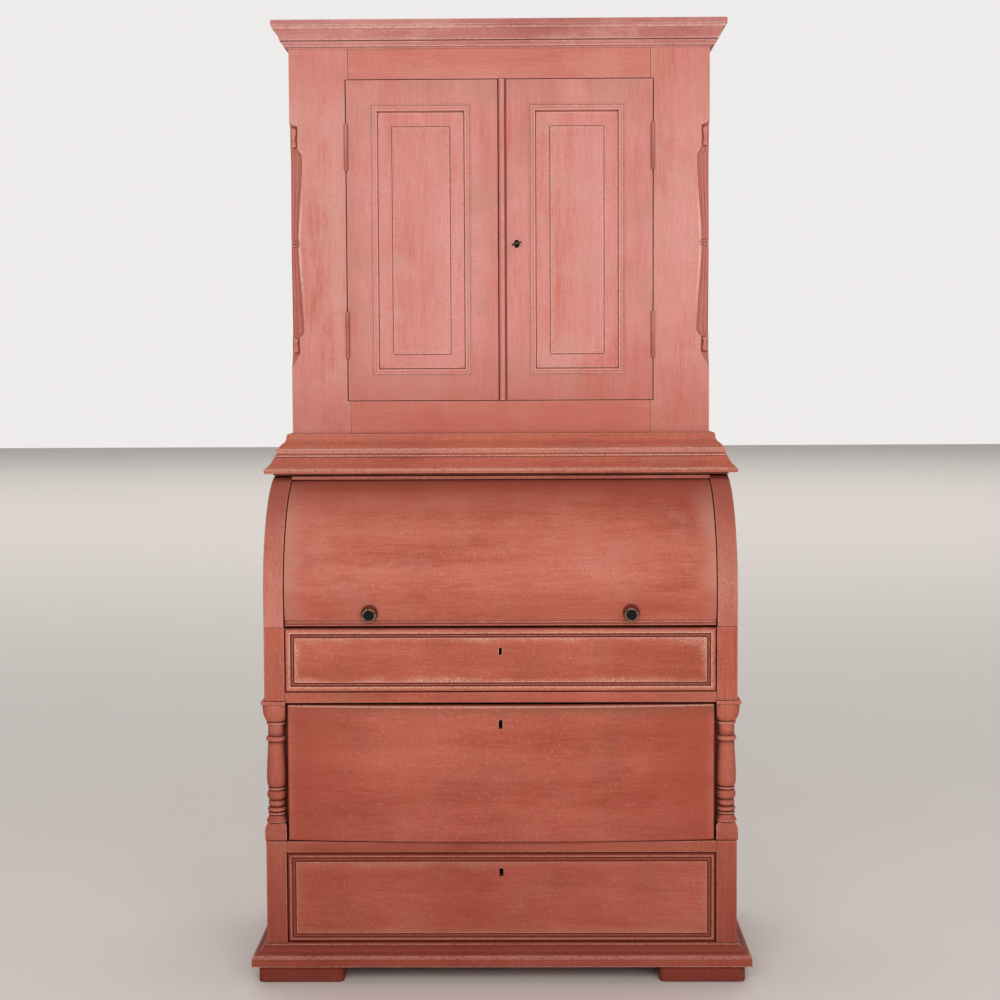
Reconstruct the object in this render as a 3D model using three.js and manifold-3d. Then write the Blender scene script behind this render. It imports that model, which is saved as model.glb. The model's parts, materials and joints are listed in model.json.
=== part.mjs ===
// Cylinder bureau bookcase in painted pine: a bureau with a roll-back cylinder fall, three drawers
// and turned corner columns, under a two-door cupboard with a cornice.
// Millimetres, +Z up. The front faces -Y, and the origin is at the middle of the outline on the floor.
import * as THREE from "three";
import { mergeVertices } from "three/addons/utils/BufferGeometryUtils.js";
import Module from "manifold-3d";

// General fits
const SEAM = 0.3; // glue line between two fixed pieces
const OVERRUN = 15; // how far a cutter passes the wood it cuts
const RUNNER_GAP = 0.6; // under a drawer
const PIVOT_GAP = 0.3; // round a pin in its bore

// Bureau carcase
const BUREAU_WIDTH = 1047;
const BUREAU_DEPTH = 560;
const FOOT_HEIGHT = 38;
const FOOT_WIDTH = 190;
const FOOT_DEPTH = 96;
const FOOT_CORNER = 14;
const FOOT_SETBACK = 14; // behind the face of the plinth moulding
const PLINTH_HEIGHT = 45;
const PLINTH_PROJECTION = 32;
const BOTTOM_BOARD_RISE = 2; // above the plinth moulding
const BOTTOM_BOARD_THICKNESS = 20;
const BOTTOM_DRAWER_OPENING = 203;
const LOWER_RAIL_THICKNESS = 25.5;
const DEEP_DRAWER_OPENING = 311;
const UPPER_RAIL_THICKNESS = 23.5;
const TOP_DRAWER_OPENING = 143;
const TOP_DRAWER_HEADROOM = 1.5;
const STILE_WIDTH = 45.5;
const POST_DEPTH = 85;
const NOTCH_DEPTH = 62;
const NOTCH_RISE = 3.5; // of the column recess into the upper rail's level
const GABLE_THICKNESS = 20;
const BACK_THICKNESS = 10;
const BACK_INSET = 2; // of a back panel's side edges
const TOP_BOARD_THICKNESS = 16;
const TOP_BOARD_LEAD = 58; // of its front before the middle of the cylinder
const BED_THICKNESS = 18;

// Corner columns
const COLUMN_AXIS_INSET = 22; // from the outer face of the gable
const COLUMN_AXIS_DEPTH = 27;
const COLUMN_RADIUS = 30;
const COLUMN_BLOCK = 49;
const COLUMN_BLOCK_HEIGHT = 41.5;
const ABACUS_HEIGHT = 8.7;
const ABACUS_OVERHANG = 30.5; // outwards and forwards from the column's axis
const COLUMN_SEGMENTS = 20;

// Cylinder fall
const CYLINDER_RADIUS = 256;
const AXIS_RISE = 70; // above the carcase top
const CHEEK_THICKNESS = 44;
const FALL_RECESS = 3; // of its face behind the outline of the cheeks
const FALL_THICKNESS = 18;
const FALL_END_GAP = 2;
const FALL_BOTTOM_GAP = 1;
const FALL_TOP_ANGLE = 88; // degrees above the level of the axis
const FALL_STEP = 3.5; // degrees of arc in each facet
const FALL_LIP_HEIGHT = 12;
const FALL_LIP_PROUD = 1.5;
const FALL_SWEEP_GAP = 2;
const KNOB_SPACING = 578;
const KNOB_ANGLE = -8.8; // degrees, below the level of the axis
const KNOB_RADIUS = 15;
const KNOB_HEIGHT = 22;
const KNOB_PLATE_RADIUS = 18.5;
const KNOB_SPIGOT_RADIUS = 5;
const KNOB_SPIGOT_LENGTH = 12;
const ARM_THICKNESS = 6;
const ARM_WIDTH = 26;
const ARM_HUB_RADIUS = 17;
const ARM_PAD_THICKNESS = 16;
const ARM_PAD_ANGLES = [10, 68]; // degrees above the level of the axis
const ARM_CHEEK_GAP = 0.5;
const ARM_HUB_LENGTH = 17;
const PIVOT_RADIUS = 6;
const PIVOT_LENGTH = 12; // inside the cheek
const TOP_RAIL_LEAD = 66; // of its face before the middle of the cylinder
const TOP_RAIL_DEPTH = 34;
const TOP_RAIL_FACE = 7;
const TOP_RAIL_SHADOW = 2.5; // groove between its face and the top board

// Pigeonholes inside the desk
const CASE_END_ROOM = 29.5; // between the case and each cheek, where the arms swing
const CASE_HEIGHT = 219;
const CASE_LEAD = 60; // of its front before the middle of the cylinder
const CASE_DEPTH = 210;
const CASE_BOARD = 8;
const CASE_BAYS = 5;
const CASE_SHELF_HEIGHT = 98; // shelf of the outer bays, above the case's floor

// Drawers
const DRAWER_FRONT_THICKNESS = 22;
const DRAWER_SIDE_GAP = 1.5;
const DRAWER_EDGE_GAP = 1.2; // above and below a drawer front
const DEEP_DRAWER_TOP_GAP = 5.5;
const DEEP_DRAWER_SIDE_GAP = 5;
const DEEP_DRAWER_CENTRE = -16; // depth of the bow's middle, in front of the stiles
const DEEP_DRAWER_BOW = 22; // how much further back its ends lie
const BOW_SEGMENTS = 16;
const DRAWER_SIDE = 12;
const DRAWER_BOTTOM = 8;
const DRAWER_LENGTH = 480; // from the stile plane to the back of the box
const DRAWER_TOP_ROOM = 14; // of a box below the opening's top
const BEAD_MARGIN = 12.5;
const BEAD_BAND = 9;
const BEAD_SINK = 3;
const BEAD_WIDTH = 6;
const KEYHOLE_RADIUS = 3.3;
const KEYHOLE_SLOT = 3.6;
const KEYHOLE_LENGTH = 17;
const TOP_KEYHOLE_DROP = 42; // of the keyhole's top below the front's top edge
const DEEP_KEYHOLE_DROP = 30;
const BOTTOM_KEYHOLE_DROP = 34;

// Cupboard carcase
const CABINET_INSET = 41.5; // of its sides within those of the bureau
const CABINET_LEAD = 16; // of its face before the middle of the cylinder
const CABINET_STILE_WIDTH = 128.5; // beside the doors
const STILE_SHOULDER = 7; // how much wider the stile is above and below the doors
const CABINET_FRONT_THICKNESS = 32;
const CABINET_SIDE = 20;
const BOTTOM_RAIL_HEIGHT = 153.5;
const DOOR_OPENING_HEIGHT = 736;
const TOP_RAIL_HEIGHT = 116;
const CABINET_BOARD = 18;
const CABINET_TOP_DROP = 18; // of the top board below the carcase top
const SHELF_THICKNESS = 16;
const SHELF_RECESS = 50; // behind the cupboard's face
const SHELF_COUNT = 2;
const WAIST_HEIGHT = 90;
const WAIST_PROJECTION = 61;
const WAIST_DROP = 11.5; // of its lip over the edge of the bureau's top board
const CORNICE_HEIGHT = 61;
const CORNICE_LAP = 47; // of the cornice over the carcase
const CORNICE_PROJECTION = 36.5;
const CHAMFER_SIZE = 24;
const CHAMFER_TOP = 213; // of its upper stop below the carcase top
const CHAMFER_LENGTH = 565;
const CHAMFER_RUNOUT = 14;

// Cupboard doors
const DOOR_GAP = 1.5; // above and below
const DOOR_HINGE_GAP = 3;
const DOOR_SETBACK = 0;
const DOOR_THICKNESS = 22;
const MEETING_LINE = -2.5; // across from the middle, where the doors meet
const MEETING_GAP = 2;
const LEFT_DOOR_STILES = [60.5, 67.1]; // left and right, to the outer edge of the panel moulding
const RIGHT_DOOR_STILES = [74.6, 67.4];
const DOOR_RAILS = [62.9, 62.5]; // bottom and top
const PANEL_MOULDING = 11;
const MOULDING_DEPTH = 7;
const PANEL_SINK = 9; // of the panel's border behind the door's face
const PANEL_THICKNESS = 8;
const FIELD_BORDER = 32;
const FIELD_RISE = 3.5;
const FIELD_BEVEL = 2.5;
const TONGUE_THICKNESS = 6;
const TONGUE_LENGTH = 7;
const GROOVE_DEPTH = 8;
const MEETING_BEAD_WIDTH = 18;
const MEETING_BEAD_PROUD = 6;
const HINGE_HEIGHT = 108;
const HINGE_INSETS = [152, 154]; // of the lower and upper hinge from the ends of the door opening
const HINGE_BARREL = 3.6;
const HINGE_STANDOFF = 0.6; // of the barrel before the door's face
const HINGE_PIN = 1.5;
const HINGE_LEAF = 1.1;
const HINGE_LEAF_DEPTH = 24;
const HINGE_LEAF_GAP = 0.2;
const KEY_ACROSS = 39; // of the keyhole from the middle
const KEY_HEIGHT = 360; // above the bottom of the door opening
const KEY_SHANK = 2.4;
const KEY_REACH = 20; // of the bow's centre before the door
const KEY_INSERT = 29; // through the door and into the lock
const KEY_BOW_WIDTH = 24;
const KEY_BOW_HEIGHT = 17;
const KEY_BOW_THICKNESS = 3.4;
const KEY_BOW_HOLE_SHARE = 0.5;
const KEY_TURN = 74; // degrees that the bow's plane leans from upright
const KEY_HOLE_WIDTH = 14;
const KEY_HOLE_HEIGHT = 20;
const LOCK_WIDTH = 44;
const LOCK_HEIGHT = 76;
const LOCK_DEPTH = 9;

// Outlines: projection or radius share first, then height share
const waistShares = [
  [1, 0], [1, 0.12], [0.91, 0.155], [0.77, 0.235], [0.72, 0.305], [0.68, 0.38], [0.66, 0.415],
  [0.62, 0.42], [0.615, 0.455], [0.56, 0.485], [0.52, 0.49], [0.5, 0.53], [0.46, 0.585], [0.43, 0.595],
  [0.35, 0.68], [0.27, 0.755], [0.21, 0.83], [0.2, 0.9], [0.15, 1],
];
const corniceShares = [
  [0.08, 0], [0.2, 0.065], [0.255, 0.115], [0.3, 0.17], [0.34, 0.185], [0.44, 0.27], [0.51, 0.33],
  [0.56, 0.345], [0.63, 0.41], [0.72, 0.485], [0.76, 0.5], [0.81, 0.62], [0.845, 0.72], [0.87, 0.81],
  [0.97, 0.825], [1, 0.85], [1, 1],
];
const plinthShares = [
  [1, 0], [1, 0.42], [0.9, 0.44], [0.88, 0.53], [0.78, 0.61], [0.62, 0.65], [0.5, 0.67],
  [0.44, 0.76], [0.3, 0.88], [0.12, 0.97], [0.06, 1],
];
const columnShares = [
  [0.78, 0], [0.76, 0.01], [0.7, 0.037], [0.59, 0.07], [0.57, 0.088],
  [0.6, 0.095], [0.625, 0.113], [0.6, 0.133], [0.52, 0.143], [0.555, 0.15], [0.57, 0.17],
  [0.555, 0.192], [0.49, 0.203], [0.57, 0.211], [0.635, 0.23], [0.635, 0.262], [0.57, 0.283],
  [0.53, 0.29], [0.6, 0.297], [0.6, 0.32], [0.52, 0.327],
  [0.65, 0.34], [0.72, 0.375], [0.725, 0.43], [0.69, 0.5], [0.65, 0.57], [0.62, 0.64], [0.6, 0.69],
  [0.66, 0.706], [0.735, 0.724], [0.69, 0.738], [0.61, 0.745], [0.605, 0.85],
  [0.66, 0.86], [0.735, 0.87], [0.72, 0.885], [0.82, 0.9], [0.93, 0.928], [0.99, 0.965], [1, 1],
];
const knobShares = [
  [1, 0, 0], [1, 0.12, 0], [0.86, 0.2, 0], [0.68, 0.22, 1], [0.64, 0.4, 1],
  [0.92, 0.52, 1], [1, 0.68, 1], [0.94, 0.88, 1], [0.6, 1, 1],
];
const beadShares = [[0, 0], [0, 0.45], [0.15, 0.8], [0.5, 1], [0.85, 0.8], [1, 0.45], [1, 0]];
const pigeonholeShares = [0, 0.2, 0.4, 0.6, 0.8, 1];

// Levels and half widths that follow from the sizes
const halfWidth = BUREAU_WIDTH / 2;
const openingHalf = halfWidth - STILE_WIDTH;
const cheekInner = halfWidth - CHEEK_THICKNESS;
const gableInner = halfWidth - GABLE_THICKNESS;
const backFace = BUREAU_DEPTH - BACK_THICKNESS;
const plinthTop = FOOT_HEIGHT + PLINTH_HEIGHT;
const bottomDrawerFloor = plinthTop + BOTTOM_BOARD_RISE;
const lowerRailBottom = bottomDrawerFloor + BOTTOM_DRAWER_OPENING;
const lowerRailTop = lowerRailBottom + LOWER_RAIL_THICKNESS;
const upperRailBottom = lowerRailTop + DEEP_DRAWER_OPENING;
const upperRailTop = upperRailBottom + UPPER_RAIL_THICKNESS;
const topDrawerCeiling = upperRailTop + TOP_DRAWER_OPENING;
const carcaseTop = topDrawerCeiling + TOP_DRAWER_HEADROOM;
const notchTop = upperRailBottom + NOTCH_RISE;
const axisDepth = CYLINDER_RADIUS;
const axisHeight = carcaseTop + AXIS_RISE;
const crownHeight = axisHeight + CYLINDER_RADIUS;
const topBoardTop = crownHeight + TOP_BOARD_THICKNESS;
const fallRadius = CYLINDER_RADIUS - FALL_RECESS;
const fallInner = fallRadius - FALL_THICKNESS;
const cabinetHalf = halfWidth - CABINET_INSET;
const doorwayHalf = cabinetHalf - CABINET_STILE_WIDTH;
const cabinetInner = cabinetHalf - CABINET_SIDE;
const cabinetFace = axisDepth - CABINET_LEAD;
const topBoardFront = axisDepth - TOP_BOARD_LEAD;
const headRailFront = axisDepth - TOP_RAIL_LEAD;
const caseFront = axisDepth - CASE_LEAD;
const cabinetBehind = cabinetFace + CABINET_FRONT_THICKNESS;
const doorwayBottom = topBoardTop + BOTTOM_RAIL_HEIGHT;
const doorwayTop = doorwayBottom + DOOR_OPENING_HEIGHT;
const cabinetTop = doorwayTop + TOP_RAIL_HEIGHT;
const doorFace = cabinetFace + DOOR_SETBACK;
const doorBack = doorFace + DOOR_THICKNESS;
const hingeAcross = doorwayHalf - DOOR_HINGE_GAP / 2;
const hingeDepth = doorFace - HINGE_BARREL - HINGE_STANDOFF;
const outlineDepth = BUREAU_DEPTH + PLINTH_PROJECTION;

// Finishes
const pinkPaint = () => new THREE.MeshStandardMaterial({ color: 0xd98f83, roughness: 0.8, metalness: 0 });
const redPaint = () => new THREE.MeshStandardMaterial({ color: 0xb35c48, roughness: 0.8, metalness: 0 });
const rawPine = () => new THREE.MeshStandardMaterial({ color: 0xc49a6c, roughness: 0.85, metalness: 0 });
const blackKnob = () => new THREE.MeshStandardMaterial({ color: 0x16130f, roughness: 0.35, metalness: 0 });
const darkIron = () => new THREE.MeshStandardMaterial({ color: 0x2b2523, roughness: 0.55, metalness: 0.7 });

const wasm = await Module();
wasm.setup();

// A closed three.js geometry as a solid, turned to face outwards
function solidOf(geometry) {
  const bare = geometry.clone();
  bare.deleteAttribute("normal");
  bare.deleteAttribute("uv");
  const merged = mergeVertices(bare, SEAM / 1000);
  const source = merged.index.array;
  const kept = [];
  for (let i = 0; i < source.length; i += 3) {
    const [a, b, c] = [source[i], source[i + 1], source[i + 2]];
    if (a !== b && b !== c && c !== a) kept.push(a, b, c);
  }
  const vertProperties = new Float32Array(merged.attributes.position.array);
  const build = (triVerts) => new wasm.Manifold(new wasm.Mesh({ numProp: 3, vertProperties, triVerts }));
  const made = build(new Uint32Array(kept));
  return made.volume() < 0 ? build(new Uint32Array(kept.reverse())) : made;
}

// A solid as a named mesh
function piece(name, solid, material, origin = [0, 0, 0]) {
  const data = solid.getMesh();
  const geometry = new THREE.BufferGeometry();
  geometry.setAttribute("position", new THREE.BufferAttribute(new Float32Array(data.vertProperties), 3));
  geometry.setIndex(new THREE.BufferAttribute(new Uint32Array(data.triVerts), 1));
  geometry.translate(-origin[0], -origin[1], -origin[2]);
  geometry.computeVertexNormals();
  const mesh = new THREE.Mesh(geometry, material);
  mesh.name = name;
  mesh.position.set(...origin);
  return mesh;
}

// A rectangular block between two values on each axis: across, depth, height
function block([x0, x1], [d0, d1], [z0, z1]) {
  const geometry = new THREE.BoxGeometry(Math.abs(x1 - x0), d1 - d0, z1 - z0);
  return solidOf(geometry.translate((x0 + x1) / 2, (d0 + d1) / 2, (z0 + z1) / 2));
}

// A block whose front face is grown on all four sides by a bevel
function bevelledBlock([x0, x1], [d0, d1], [z0, z1], grow) {
  const geometry = new THREE.BoxGeometry(x1 - x0, d1 - d0, z1 - z0);
  const place = geometry.attributes.position;
  for (let i = 0; i < place.count; i += 1) {
    if (place.getY(i) < 0) {
      place.setX(i, place.getX(i) + Math.sign(place.getX(i)) * grow);
      place.setZ(i, place.getZ(i) + Math.sign(place.getZ(i)) * grow);
    }
  }
  return solidOf(geometry.translate((x0 + x1) / 2, (d0 + d1) / 2, (z0 + z1) / 2));
}

function extrusion(points, length, holes = []) {
  const shape = new THREE.Shape(points.map(([u, v]) => new THREE.Vector2(u, v)));
  shape.holes = holes.map((hole) => new THREE.Path(hole.map(([u, v]) => new THREE.Vector2(u, v))));
  return new THREE.ExtrudeGeometry(shape, { depth: length, bevelEnabled: false });
}

// An outline of across and depth, raised from z0 to z1
function planPrism(points, z0, z1) {
  return solidOf(extrusion(points, z1 - z0).translate(0, 0, z0));
}

// An outline of depth and height, run from x0 to x1
function sidePrism(points, x0, x1) {
  const turned = new THREE.Matrix4().set(0, 0, 1, x0, 1, 0, 0, 0, 0, 1, 0, 0, 0, 0, 0, 1);
  return solidOf(extrusion(points, x1 - x0).applyMatrix4(turned));
}

// An outline of across and height, run from depth d0 to d1
function facePrism(points, d0, d1, holes = []) {
  const turned = new THREE.Matrix4().set(1, 0, 0, 0, 0, 0, -1, d1, 0, 1, 0, 0, 0, 0, 0, 1);
  return solidOf(extrusion(points, d1 - d0, holes).applyMatrix4(turned));
}

// Points on an arc of the fall: angles in degrees above the level of the axis, towards the front
function fallArc(radius, from, to) {
  const steps = Math.max(2, Math.ceil(Math.abs(to - from) / FALL_STEP));
  return Array.from({ length: steps + 1 }, (_, i) => {
    const angle = THREE.MathUtils.degToRad(from + ((to - from) * i) / steps);
    return [axisDepth - radius * Math.cos(angle), axisHeight + radius * Math.sin(angle)];
  });
}

// A band of the fall's cylinder between two radii and two angles
function fallBand(inner, outer, from, to) {
  return [...fallArc(outer, from, to), ...fallArc(inner, to, from)];
}

function circle(u, v, radius, count) {
  return Array.from({ length: count }, (_, i) => {
    const angle = (2 * Math.PI * i) / count;
    return [u + radius * Math.cos(angle), v + radius * Math.sin(angle)];
  });
}

// A turned solid about the Z axis from radius and height points
function turning(points, segments) {
  const profile = points.map(([radius, height]) => new THREE.Vector2(radius, height));
  return solidOf(new THREE.LatheGeometry(profile, segments).rotateX(Math.PI / 2));
}

// A moulding run round corners. Each corner is x, y and how its mitre leans; each profile point
// is the distance out along the mitre and the height. A closed run joins its last corner to its first.
function mouldingRun(corners, profile, closed) {
  const area = THREE.ShapeUtils.area(profile.map(([u, v]) => new THREE.Vector2(u, v)));
  const section = area < 0 ? [...profile].reverse() : profile;
  const positions = corners.flatMap(([x, y, leanX, leanY]) =>
    section.flatMap(([out, height]) => [x + out * leanX, y + out * leanY, height]),
  );
  const count = section.length;
  const index = [];
  const runs = closed ? corners.length : corners.length - 1;
  for (let run = 0; run < runs; run += 1) {
    const here = run * count;
    const next = ((run + 1) % corners.length) * count;
    for (let i = 0; i < count; i += 1) {
      const j = (i + 1) % count;
      index.push(here + i, next + i, next + j, here + i, next + j, here + j);
    }
  }
  if (!closed) {
    const flat = section.map(([u, v]) => new THREE.Vector2(u, v));
    const last = (corners.length - 1) * count;
    for (const [a, b, c] of THREE.ShapeUtils.triangulateShape(flat, [])) {
      index.push(a, b, c);
      index.push(last + a, last + c, last + b);
    }
  }
  const geometry = new THREE.BufferGeometry();
  geometry.setAttribute("position", new THREE.BufferAttribute(new Float32Array(positions), 3));
  geometry.setIndex(index);
  return geometry;
}

// A moulding on the front and both sides of a carcase, open at the back
function threeSidedMoulding(half, front, profile) {
  const corners = [
    [-half, BUREAU_DEPTH, -1, 0],
    [-half, front, -1, -1],
    [half, front, 1, -1],
    [half, BUREAU_DEPTH, 1, 0],
  ];
  return solidOf(mouldingRun(corners, profile, false));
}

// A moulding round a rectangle on a front face: profile points are distance inwards and rise
function faceMoulding([x0, x1], [z0, z1], face, profile) {
  const corners = [[x0, z0, 1, 1], [x1, z0, -1, 1], [x1, z1, -1, -1], [x0, z1, 1, -1]];
  const geometry = mouldingRun(corners, profile, true);
  return solidOf(geometry.rotateX(Math.PI / 2).translate(0, face, 0));
}

// A moulding's section from its shares, with its back a seam off the carcase
function profileOf(shares, projection, bottom, height) {
  const points = shares.map(([out, up]) => [out * projection, bottom + up * height]);
  return [...points, [SEAM, bottom + height], [SEAM, bottom]];
}

const sideName = (side) => (side < 0 ? "left" : "right");
const span = (side, inner, outer) => (side < 0 ? [-outer, -inner] : [inner, outer]);

// Bureau base

function cornerPost(side) {
  const body = block(span(side, openingHalf, halfWidth), [0, POST_DEPTH], [FOOT_HEIGHT, carcaseTop - SEAM]);
  const notch = block(
    span(side, openingHalf - OVERRUN, halfWidth + OVERRUN),
    [-OVERRUN, NOTCH_DEPTH],
    [lowerRailTop, notchTop],
  );
  return piece(sideName(side) + "_corner_post", body.subtract(notch), redPaint());
}

function column(side) {
  const axis = side * (halfWidth - COLUMN_AXIS_INSET);
  const foot = lowerRailTop + SEAM;
  const turnedFoot = foot + COLUMN_BLOCK_HEIGHT;
  const abacusTop = notchTop - SEAM;
  const turnedTop = abacusTop - ABACUS_HEIGHT;
  const half = COLUMN_BLOCK / 2;
  const base = block(
    [axis - half, axis + half],
    [COLUMN_AXIS_DEPTH - half, COLUMN_AXIS_DEPTH + half],
    [foot, turnedFoot],
  );
  const inset = (turnedTop - turnedFoot) * columnShares[1][1];
  const profile = columnShares.map(([radius, up]) => [
    radius * COLUMN_RADIUS,
    turnedFoot + up * (turnedTop - turnedFoot),
  ]);
  const overlap = [[0, turnedFoot - inset], [profile[0][0], turnedFoot - inset]];
  const crown = [[profile[profile.length - 1][0], turnedTop + inset], [0, turnedTop + inset]];
  const turned = turning([...overlap, ...profile, ...crown], COLUMN_SEGMENTS);
  const shaft = turned.translate([axis, COLUMN_AXIS_DEPTH, 0]);
  const abacus = block(
    span(side, openingHalf, Math.abs(axis) + ABACUS_OVERHANG),
    [COLUMN_AXIS_DEPTH - ABACUS_OVERHANG, COLUMN_AXIS_DEPTH + ABACUS_OVERHANG],
    [turnedTop, abacusTop],
  );
  const clear = block(
    span(side, openingHalf, halfWidth + OVERRUN),
    [-OVERRUN, NOTCH_DEPTH - SEAM],
    [foot, abacusTop],
  );
  return piece(sideName(side) + "_column", base.add(shaft).add(abacus).intersect(clear), redPaint());
}

function gable(side) {
  const body = block(
    span(side, gableInner, halfWidth),
    [POST_DEPTH + SEAM, backFace - SEAM],
    [FOOT_HEIGHT, carcaseTop - SEAM],
  );
  return piece(sideName(side) + "_gable", body, redPaint());
}

// A board that fills the carcase behind and between the corner posts
function carcaseBoard(name, bottom, top, material) {
  const front = openingHalf - SEAM;
  const rear = gableInner - SEAM;
  const step = POST_DEPTH + SEAM;
  const end = backFace - SEAM;
  const outline = [
    [-front, 0], [front, 0], [front, step], [rear, step],
    [rear, end], [-rear, end], [-rear, step], [-front, step],
  ];
  return piece(name, planPrism(outline, bottom, top), material);
}

function foot(side, row) {
  const outer = halfWidth + PLINTH_PROJECTION - FOOT_SETBACK;
  const [x0, x1] = span(side, outer - FOOT_WIDTH, outer);
  const near = row === "front" ? FOOT_SETBACK - PLINTH_PROJECTION : backFace - FOOT_DEPTH;
  const far = near + FOOT_DEPTH;
  const shape = new THREE.Shape();
  const r = FOOT_CORNER;
  shape.moveTo(x0 + r, near);
  shape.lineTo(x1 - r, near);
  shape.absarc(x1 - r, near + r, r, -Math.PI / 2, 0, false);
  shape.lineTo(x1, far - r);
  shape.absarc(x1 - r, far - r, r, 0, Math.PI / 2, false);
  shape.lineTo(x0 + r, far);
  shape.absarc(x0 + r, far - r, r, Math.PI / 2, Math.PI, false);
  shape.lineTo(x0, near + r);
  shape.absarc(x0 + r, near + r, r, Math.PI, 1.5 * Math.PI, false);
  const outline = shape.extractPoints(3).shape.map((point) => [point.x, point.y]);
  return piece(`${row}_${sideName(side)}_foot`, planPrism(outline, 0, FOOT_HEIGHT - SEAM), redPaint());
}

function buildBase() {
  const base = new THREE.Group();
  const plinth = profileOf(plinthShares, PLINTH_PROJECTION, FOOT_HEIGHT, PLINTH_HEIGHT);
  base.add(piece("plinth_moulding", threeSidedMoulding(halfWidth, 0, plinth), redPaint()));
  for (const side of [-1, 1]) {
    base.add(cornerPost(side), column(side), gable(side), foot(side, "front"), foot(side, "rear"));
  }
  base.add(
    carcaseBoard("bottom_board", bottomDrawerFloor - BOTTOM_BOARD_THICKNESS, bottomDrawerFloor, redPaint()),
    carcaseBoard("lower_dustboard", lowerRailBottom, lowerRailTop, redPaint()),
    carcaseBoard("upper_dustboard", upperRailBottom, upperRailTop, redPaint()),
  );
  const backHalf = halfWidth - BACK_INSET;
  const back = block([-backHalf, backHalf], [backFace, BUREAU_DEPTH], [FOOT_HEIGHT, crownHeight]);
  base.add(piece("bureau_back", back, rawPine()));
  return base;
}

// Desk and its cylinder

function cheek(side) {
  const outline = [
    [0, carcaseTop],
    ...fallArc(CYLINDER_RADIUS, 0, 90),
    [backFace - SEAM, crownHeight],
    [backFace - SEAM, carcaseTop],
  ];
  const [x0, x1] = span(side, cheekInner, halfWidth);
  const board = sidePrism(outline, x0, x1);
  const bore = circle(axisDepth, axisHeight, PIVOT_RADIUS + PIVOT_GAP, 16);
  const [b0, b1] = span(side, cheekInner - OVERRUN, cheekInner + PIVOT_LENGTH + PIVOT_GAP);
  return piece(sideName(side) + "_cylinder_cheek", board.subtract(sidePrism(bore, b0, b1)), redPaint());
}

function topRail() {
  const clear = fallRadius + FALL_SWEEP_GAP;
  const heightAt = (depth) => axisHeight + Math.sqrt(clear ** 2 - (axisDepth - depth) ** 2);
  const rear = headRailFront + TOP_RAIL_DEPTH;
  const middle = headRailFront + TOP_RAIL_DEPTH / 2;
  const face = crownHeight - TOP_RAIL_SHADOW;
  const outline = [
    [headRailFront, face - TOP_RAIL_FACE],
    [headRailFront + TOP_RAIL_FACE / 4, heightAt(headRailFront + TOP_RAIL_FACE / 4)],
    [middle, heightAt(middle) + SEAM],
    [rear, heightAt(rear) + SEAM],
    [rear, crownHeight],
    [middle, crownHeight],
    [middle, face],
    [headRailFront, face],
  ];
  const half = cheekInner - SEAM;
  return piece("fall_head_rail", sidePrism(outline, -half, half), redPaint());
}

// The bay walls, floor, top, back and outer shelves of the pigeonholes, as one joined case
function pigeonholes() {
  const floor = carcaseTop + SEAM + BED_THICKNESS + SEAM;
  const top = floor + CASE_HEIGHT;
  const half = cheekInner - CASE_END_ROOM;
  const width = 2 * half;
  const rear = caseFront + CASE_DEPTH;
  const depth = [caseFront, rear];
  let body = block([-half, half], [rear - CASE_BOARD, rear], [floor, top]);
  body = body.add(block([-half, half], depth, [floor, floor + CASE_BOARD]));
  body = body.add(block([-half, half], depth, [top - CASE_BOARD, top]));
  for (const share of pigeonholeShares) {
    const wall = -half + share * (width - CASE_BOARD);
    body = body.add(block([wall, wall + CASE_BOARD], depth, [floor, top]));
  }
  const bay = (width - CASE_BOARD) / CASE_BAYS;
  const shelf = floor + CASE_SHELF_HEIGHT;
  for (const side of [-1, 1]) {
    const shelfSpan = span(side, half - 2 * bay - CASE_BOARD / 2, half);
    body = body.add(block(shelfSpan, depth, [shelf, shelf + CASE_BOARD]));
  }
  return piece("pigeonhole_case", body, rawPine());
}

const lipRadius = fallRadius + FALL_LIP_PROUD;
const fallStart = -THREE.MathUtils.radToDeg(Math.asin((AXIS_RISE - FALL_BOTTOM_GAP) / lipRadius));
const knobTurn = Math.PI / 2 - THREE.MathUtils.degToRad(KNOB_ANGLE);

// Carries a solid that stands along Z onto the fall, at a radius from the axis
function ontoFall(solid, across, radius) {
  const angle = THREE.MathUtils.degToRad(KNOB_ANGLE);
  return solid
    .rotate([THREE.MathUtils.radToDeg(knobTurn), 0, 0])
    .translate([across, axisDepth - radius * Math.cos(angle), axisHeight + radius * Math.sin(angle)]);
}

function knob(side) {
  const profile = knobShares.map(([radius, up, part]) => [
    radius * (part ? KNOB_RADIUS : KNOB_PLATE_RADIUS),
    up * KNOB_HEIGHT,
  ]);
  const spigot = [[0, -KNOB_SPIGOT_LENGTH], [KNOB_SPIGOT_RADIUS, -KNOB_SPIGOT_LENGTH], [KNOB_SPIGOT_RADIUS, 0]];
  const turned = turning([...spigot, ...profile, [0, KNOB_HEIGHT]], COLUMN_SEGMENTS);
  const seated = ontoFall(turned, (side * KNOB_SPACING) / 2, fallRadius + SEAM);
  return piece(sideName(side) + "_fall_knob", seated, blackKnob());
}

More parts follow.
